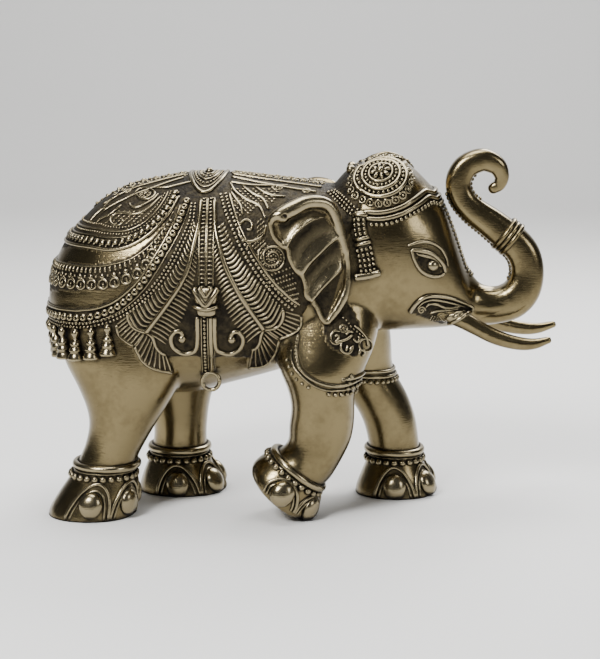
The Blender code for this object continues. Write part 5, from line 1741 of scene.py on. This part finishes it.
def brass():
    """Cast brass with patina and painted shade in its recesses, ornament brightened by rubbed wear and
    painted highlight, fine scratches and small pits.
    """
    s = Shading("antique_brass")
    inputs = s.shader.inputs
    # Ambient occlusion paints shade into recesses, mixed with the patina there.
    recess = s.node("ShaderNodeAmbientOcclusion", samples=8)
    recess.inputs["Distance"].default_value = RECESS_REACH
    # Marks of the mesh: the dark ground, patina and painted shade, and the ornament's rubbed wear and painted
    # highlight.
    ground, wear_and_highlight = s.value_of("ground"), s.value_of("wear_and_highlight")
    cloud, speck, fine = s.noise(*CLOUD), s.noise(*SPECK), s.noise(*FINE)
    streak = s.noise(*STREAK, STREAK_STRETCH)

    openness = s.plus(recess.outputs["AO"], s.times(s.maths("SUBTRACT", speck, 0.5), SPECK_IN_PATINA_SHADE))
    # Dark ground in patches: patina and painted shade.
    patches = s.times(ground, s.ramp(s.plus(speck, cloud), *GROUND_CLOUDS))
    patina_and_shade_mask = s.maths("MAXIMUM", s.ramp(openness, PATINA_SHADE_FROM, PATINA_SHADE_FULL), patches)
    stain = s.ramp(s.plus(cloud, s.times(speck, 0.5)), *STAINS)
    # Ornament and ear crests are lightened: rubbed wear and painted highlight.
    brass_and_highlight = s.blend(wear_and_highlight, s.blend(stain, BRASS, STAINED), RUBBED_AND_HIGHLIGHT)
    # The base colour goes to the dark colour in recesses and on the dark ground: patina and painted shade.
    s.feed(inputs["Base Color"], s.blend(patina_and_shade_mask, brass_and_highlight, PATINA_AND_SHADE))
    s.feed(inputs["Metallic"], s.ramp(patina_and_shade_mask, 0, 1, 1, DARKENED_METAL))
    rough = s.plus(s.ramp(patina_and_shade_mask, 0.1, 1, CLEAN_ROUGH, DARKENED_ROUGH), s.times(cloud, ROUGH_NOISE))
    s.feed(inputs["Roughness"], s.plus(rough, s.times(s.maths("SUBTRACT", fine, 0.5), ROUGH_NOISE)))

    stipple = s.node("ShaderNodeTexVoronoi")
    stipple.inputs["Scale"].default_value = STIPPLE
    s.feed(stipple.inputs["Vector"], s.where)
    bump = s.node("ShaderNodeBump")
    bump.inputs["Strength"].default_value = BUMP_STRENGTH
    bump.inputs["Distance"].default_value = BUMP_DEPTH
    s.feed(bump.inputs["Height"], s.plus(
        s.times(cloud, CLOUD_BUMP), s.times(speck, SPECK_BUMP), s.times(streak, STREAK_BUMP),
        s.times(s.ramp(s.noise(*PITS), *PIT_EDGE), PIT_BUMP),
        s.times(s.times(stipple.outputs["Distance"], ground), STIPPLE_BUMP),
    ))
    s.feed(inputs["Normal"], bump.outputs["Normal"])
    return s.material


def dress(name, mesh, material):
    """A finished piece of the casting, fixed to its body."""
    mesh.shade_smooth()
    mesh.materials.clear()
    mesh.materials.append(material)
    piece = bpy.data.objects.new(name, mesh)
    bpy.context.scene.collection.objects.link(piece)
    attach(piece, "root")
    return piece


def dress_clay(name, clay, material):
    """A piece made of clay, of which nothing goes below the ground that the statue stands on."""
    for corner in clay.corners:
        corner.z = max(corner.z, 0.0)
    return dress(name, clay.mesh(name), material)


def dress_relief(name, clay, material):
    """A piece of ornament, which hands have rubbed brighter than the skin; the brightness is also a painted
    highlight.
    """
    mesh = dress_clay(name, clay, material).data
    mark(mesh, "wear_and_highlight", [1.0] * len(mesh.vertices))


def build_elephant():
    material = brass()
    skin = body_skin()
    raise_blanket(skin)
    ground = Ground(skin)
    body = dress("body", skin, material)
    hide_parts("elephant")

    for name, make in (("trunk", trunk_piece), ("tusks", tusk_piece), ("tail", tail_piece)):
        dress_clay(name, make(), material)
    for side, name in ((NEAR, "near"), (FAR, "far")):
        dress("ear_" + name, ear_piece(side), material)
        clay = Clay()
        side_blanket(clay, ground, side)
        dress_relief("blanket_" + name, clay, material)
    clay = Clay()
    rump(clay, ground)
    tassels(clay, ground)
    dress_relief("rump_borders", clay, material)
    clay = Clay()
    spine(clay, ground)
    headdress(clay, ground)
    chest(clay, ground)
    for side in (NEAR, FAR):
        face(clay, ground, side)
    dress_relief("headdress", clay, material)
    clay = Clay()
    anklets_and_feet(clay, ground)
    dress_relief("anklets_and_nails", clay, material)


def sweep():
    """The pale floor, which bends up into a wall behind the statue."""
    profile = [(FLOOR_FRONT, 0.0), (FLOOR_BACK, 0.0)]
    for share in shares(BEND_STEPS)[1:]:
        turn = math.pi / 2 * share
        profile.append((FLOOR_BACK + BEND * math.sin(turn), BEND - BEND * math.cos(turn)))
    profile.append((FLOOR_BACK + BEND, WALL_TOP))
    corners = [(x, y, z - FLOOR_DROP) for y, z in profile for x in (-FLOOR_HALF, FLOOR_HALF)]
    faces = [(2 * i, 2 * i + 1, 2 * i + 3, 2 * i + 2) for i in range(len(profile) - 1)]
    material = bpy.data.materials.new("floor")
    material.use_nodes = True
    shader = material.node_tree.nodes["Principled BSDF"]
    shader.inputs["Base Color"].default_value = FLOOR_COLOUR
    shader.inputs["Roughness"].default_value = FLOOR_ROUGH
    mesh = bpy.data.meshes.new("floor")
    mesh.from_pydata(corners, [], faces)
    mesh.shade_smooth()
    mesh.materials.append(material)
    floor = bpy.data.objects.new("floor", mesh)
    bpy.context.scene.collection.objects.link(floor)


def studio():
    """Soft lights over the sweep, in a dim grey room."""
    world = bpy.data.worlds.new("room")
    world.use_nodes = True
    background = world.node_tree.nodes["Background"]
    background.inputs["Color"].default_value = ROOM_COLOUR
    background.inputs["Strength"].default_value = ROOM_LIGHT
    bpy.context.scene.world = world
    for name, energy, size, place_at, target in LIGHTS:
        lamp = bpy.data.lights.new(name, "AREA")
        lamp.energy = energy
        lamp.size = size
        light = bpy.data.objects.new(name, lamp)
        light.location = place_at
        light.rotation_euler = (Vector(place_at) - Vector(target)).to_track_quat("Z", "Y").to_euler()
        bpy.context.scene.collection.objects.link(light)


def camera():
    """The photograph's view: almost square on to the near side, a little from above."""
    made = bpy.data.cameras.new("camera")
    made.sensor_fit = "VERTICAL"
    made.sensor_height = SENSOR_HEIGHT
    made.lens = SENSOR_HEIGHT * CAMERA_DISTANCE / (FRAME_HEIGHT * PIXEL)
    view = bpy.data.objects.new("camera", made)
    turn, rise = math.radians(CAMERA_TURN), math.radians(CAMERA_RISE)
    back = Vector((math.sin(turn) * math.cos(rise), -math.cos(turn) * math.cos(rise), math.sin(rise)))
    view.location = place(*CAMERA_TARGET) + back * CAMERA_DISTANCE
    view.rotation_euler = back.to_track_quat("Z", "Y").to_euler()
    bpy.context.scene.collection.objects.link(view)
    bpy.context.scene.camera = view


build_elephant()
sweep()
studio()
camera()
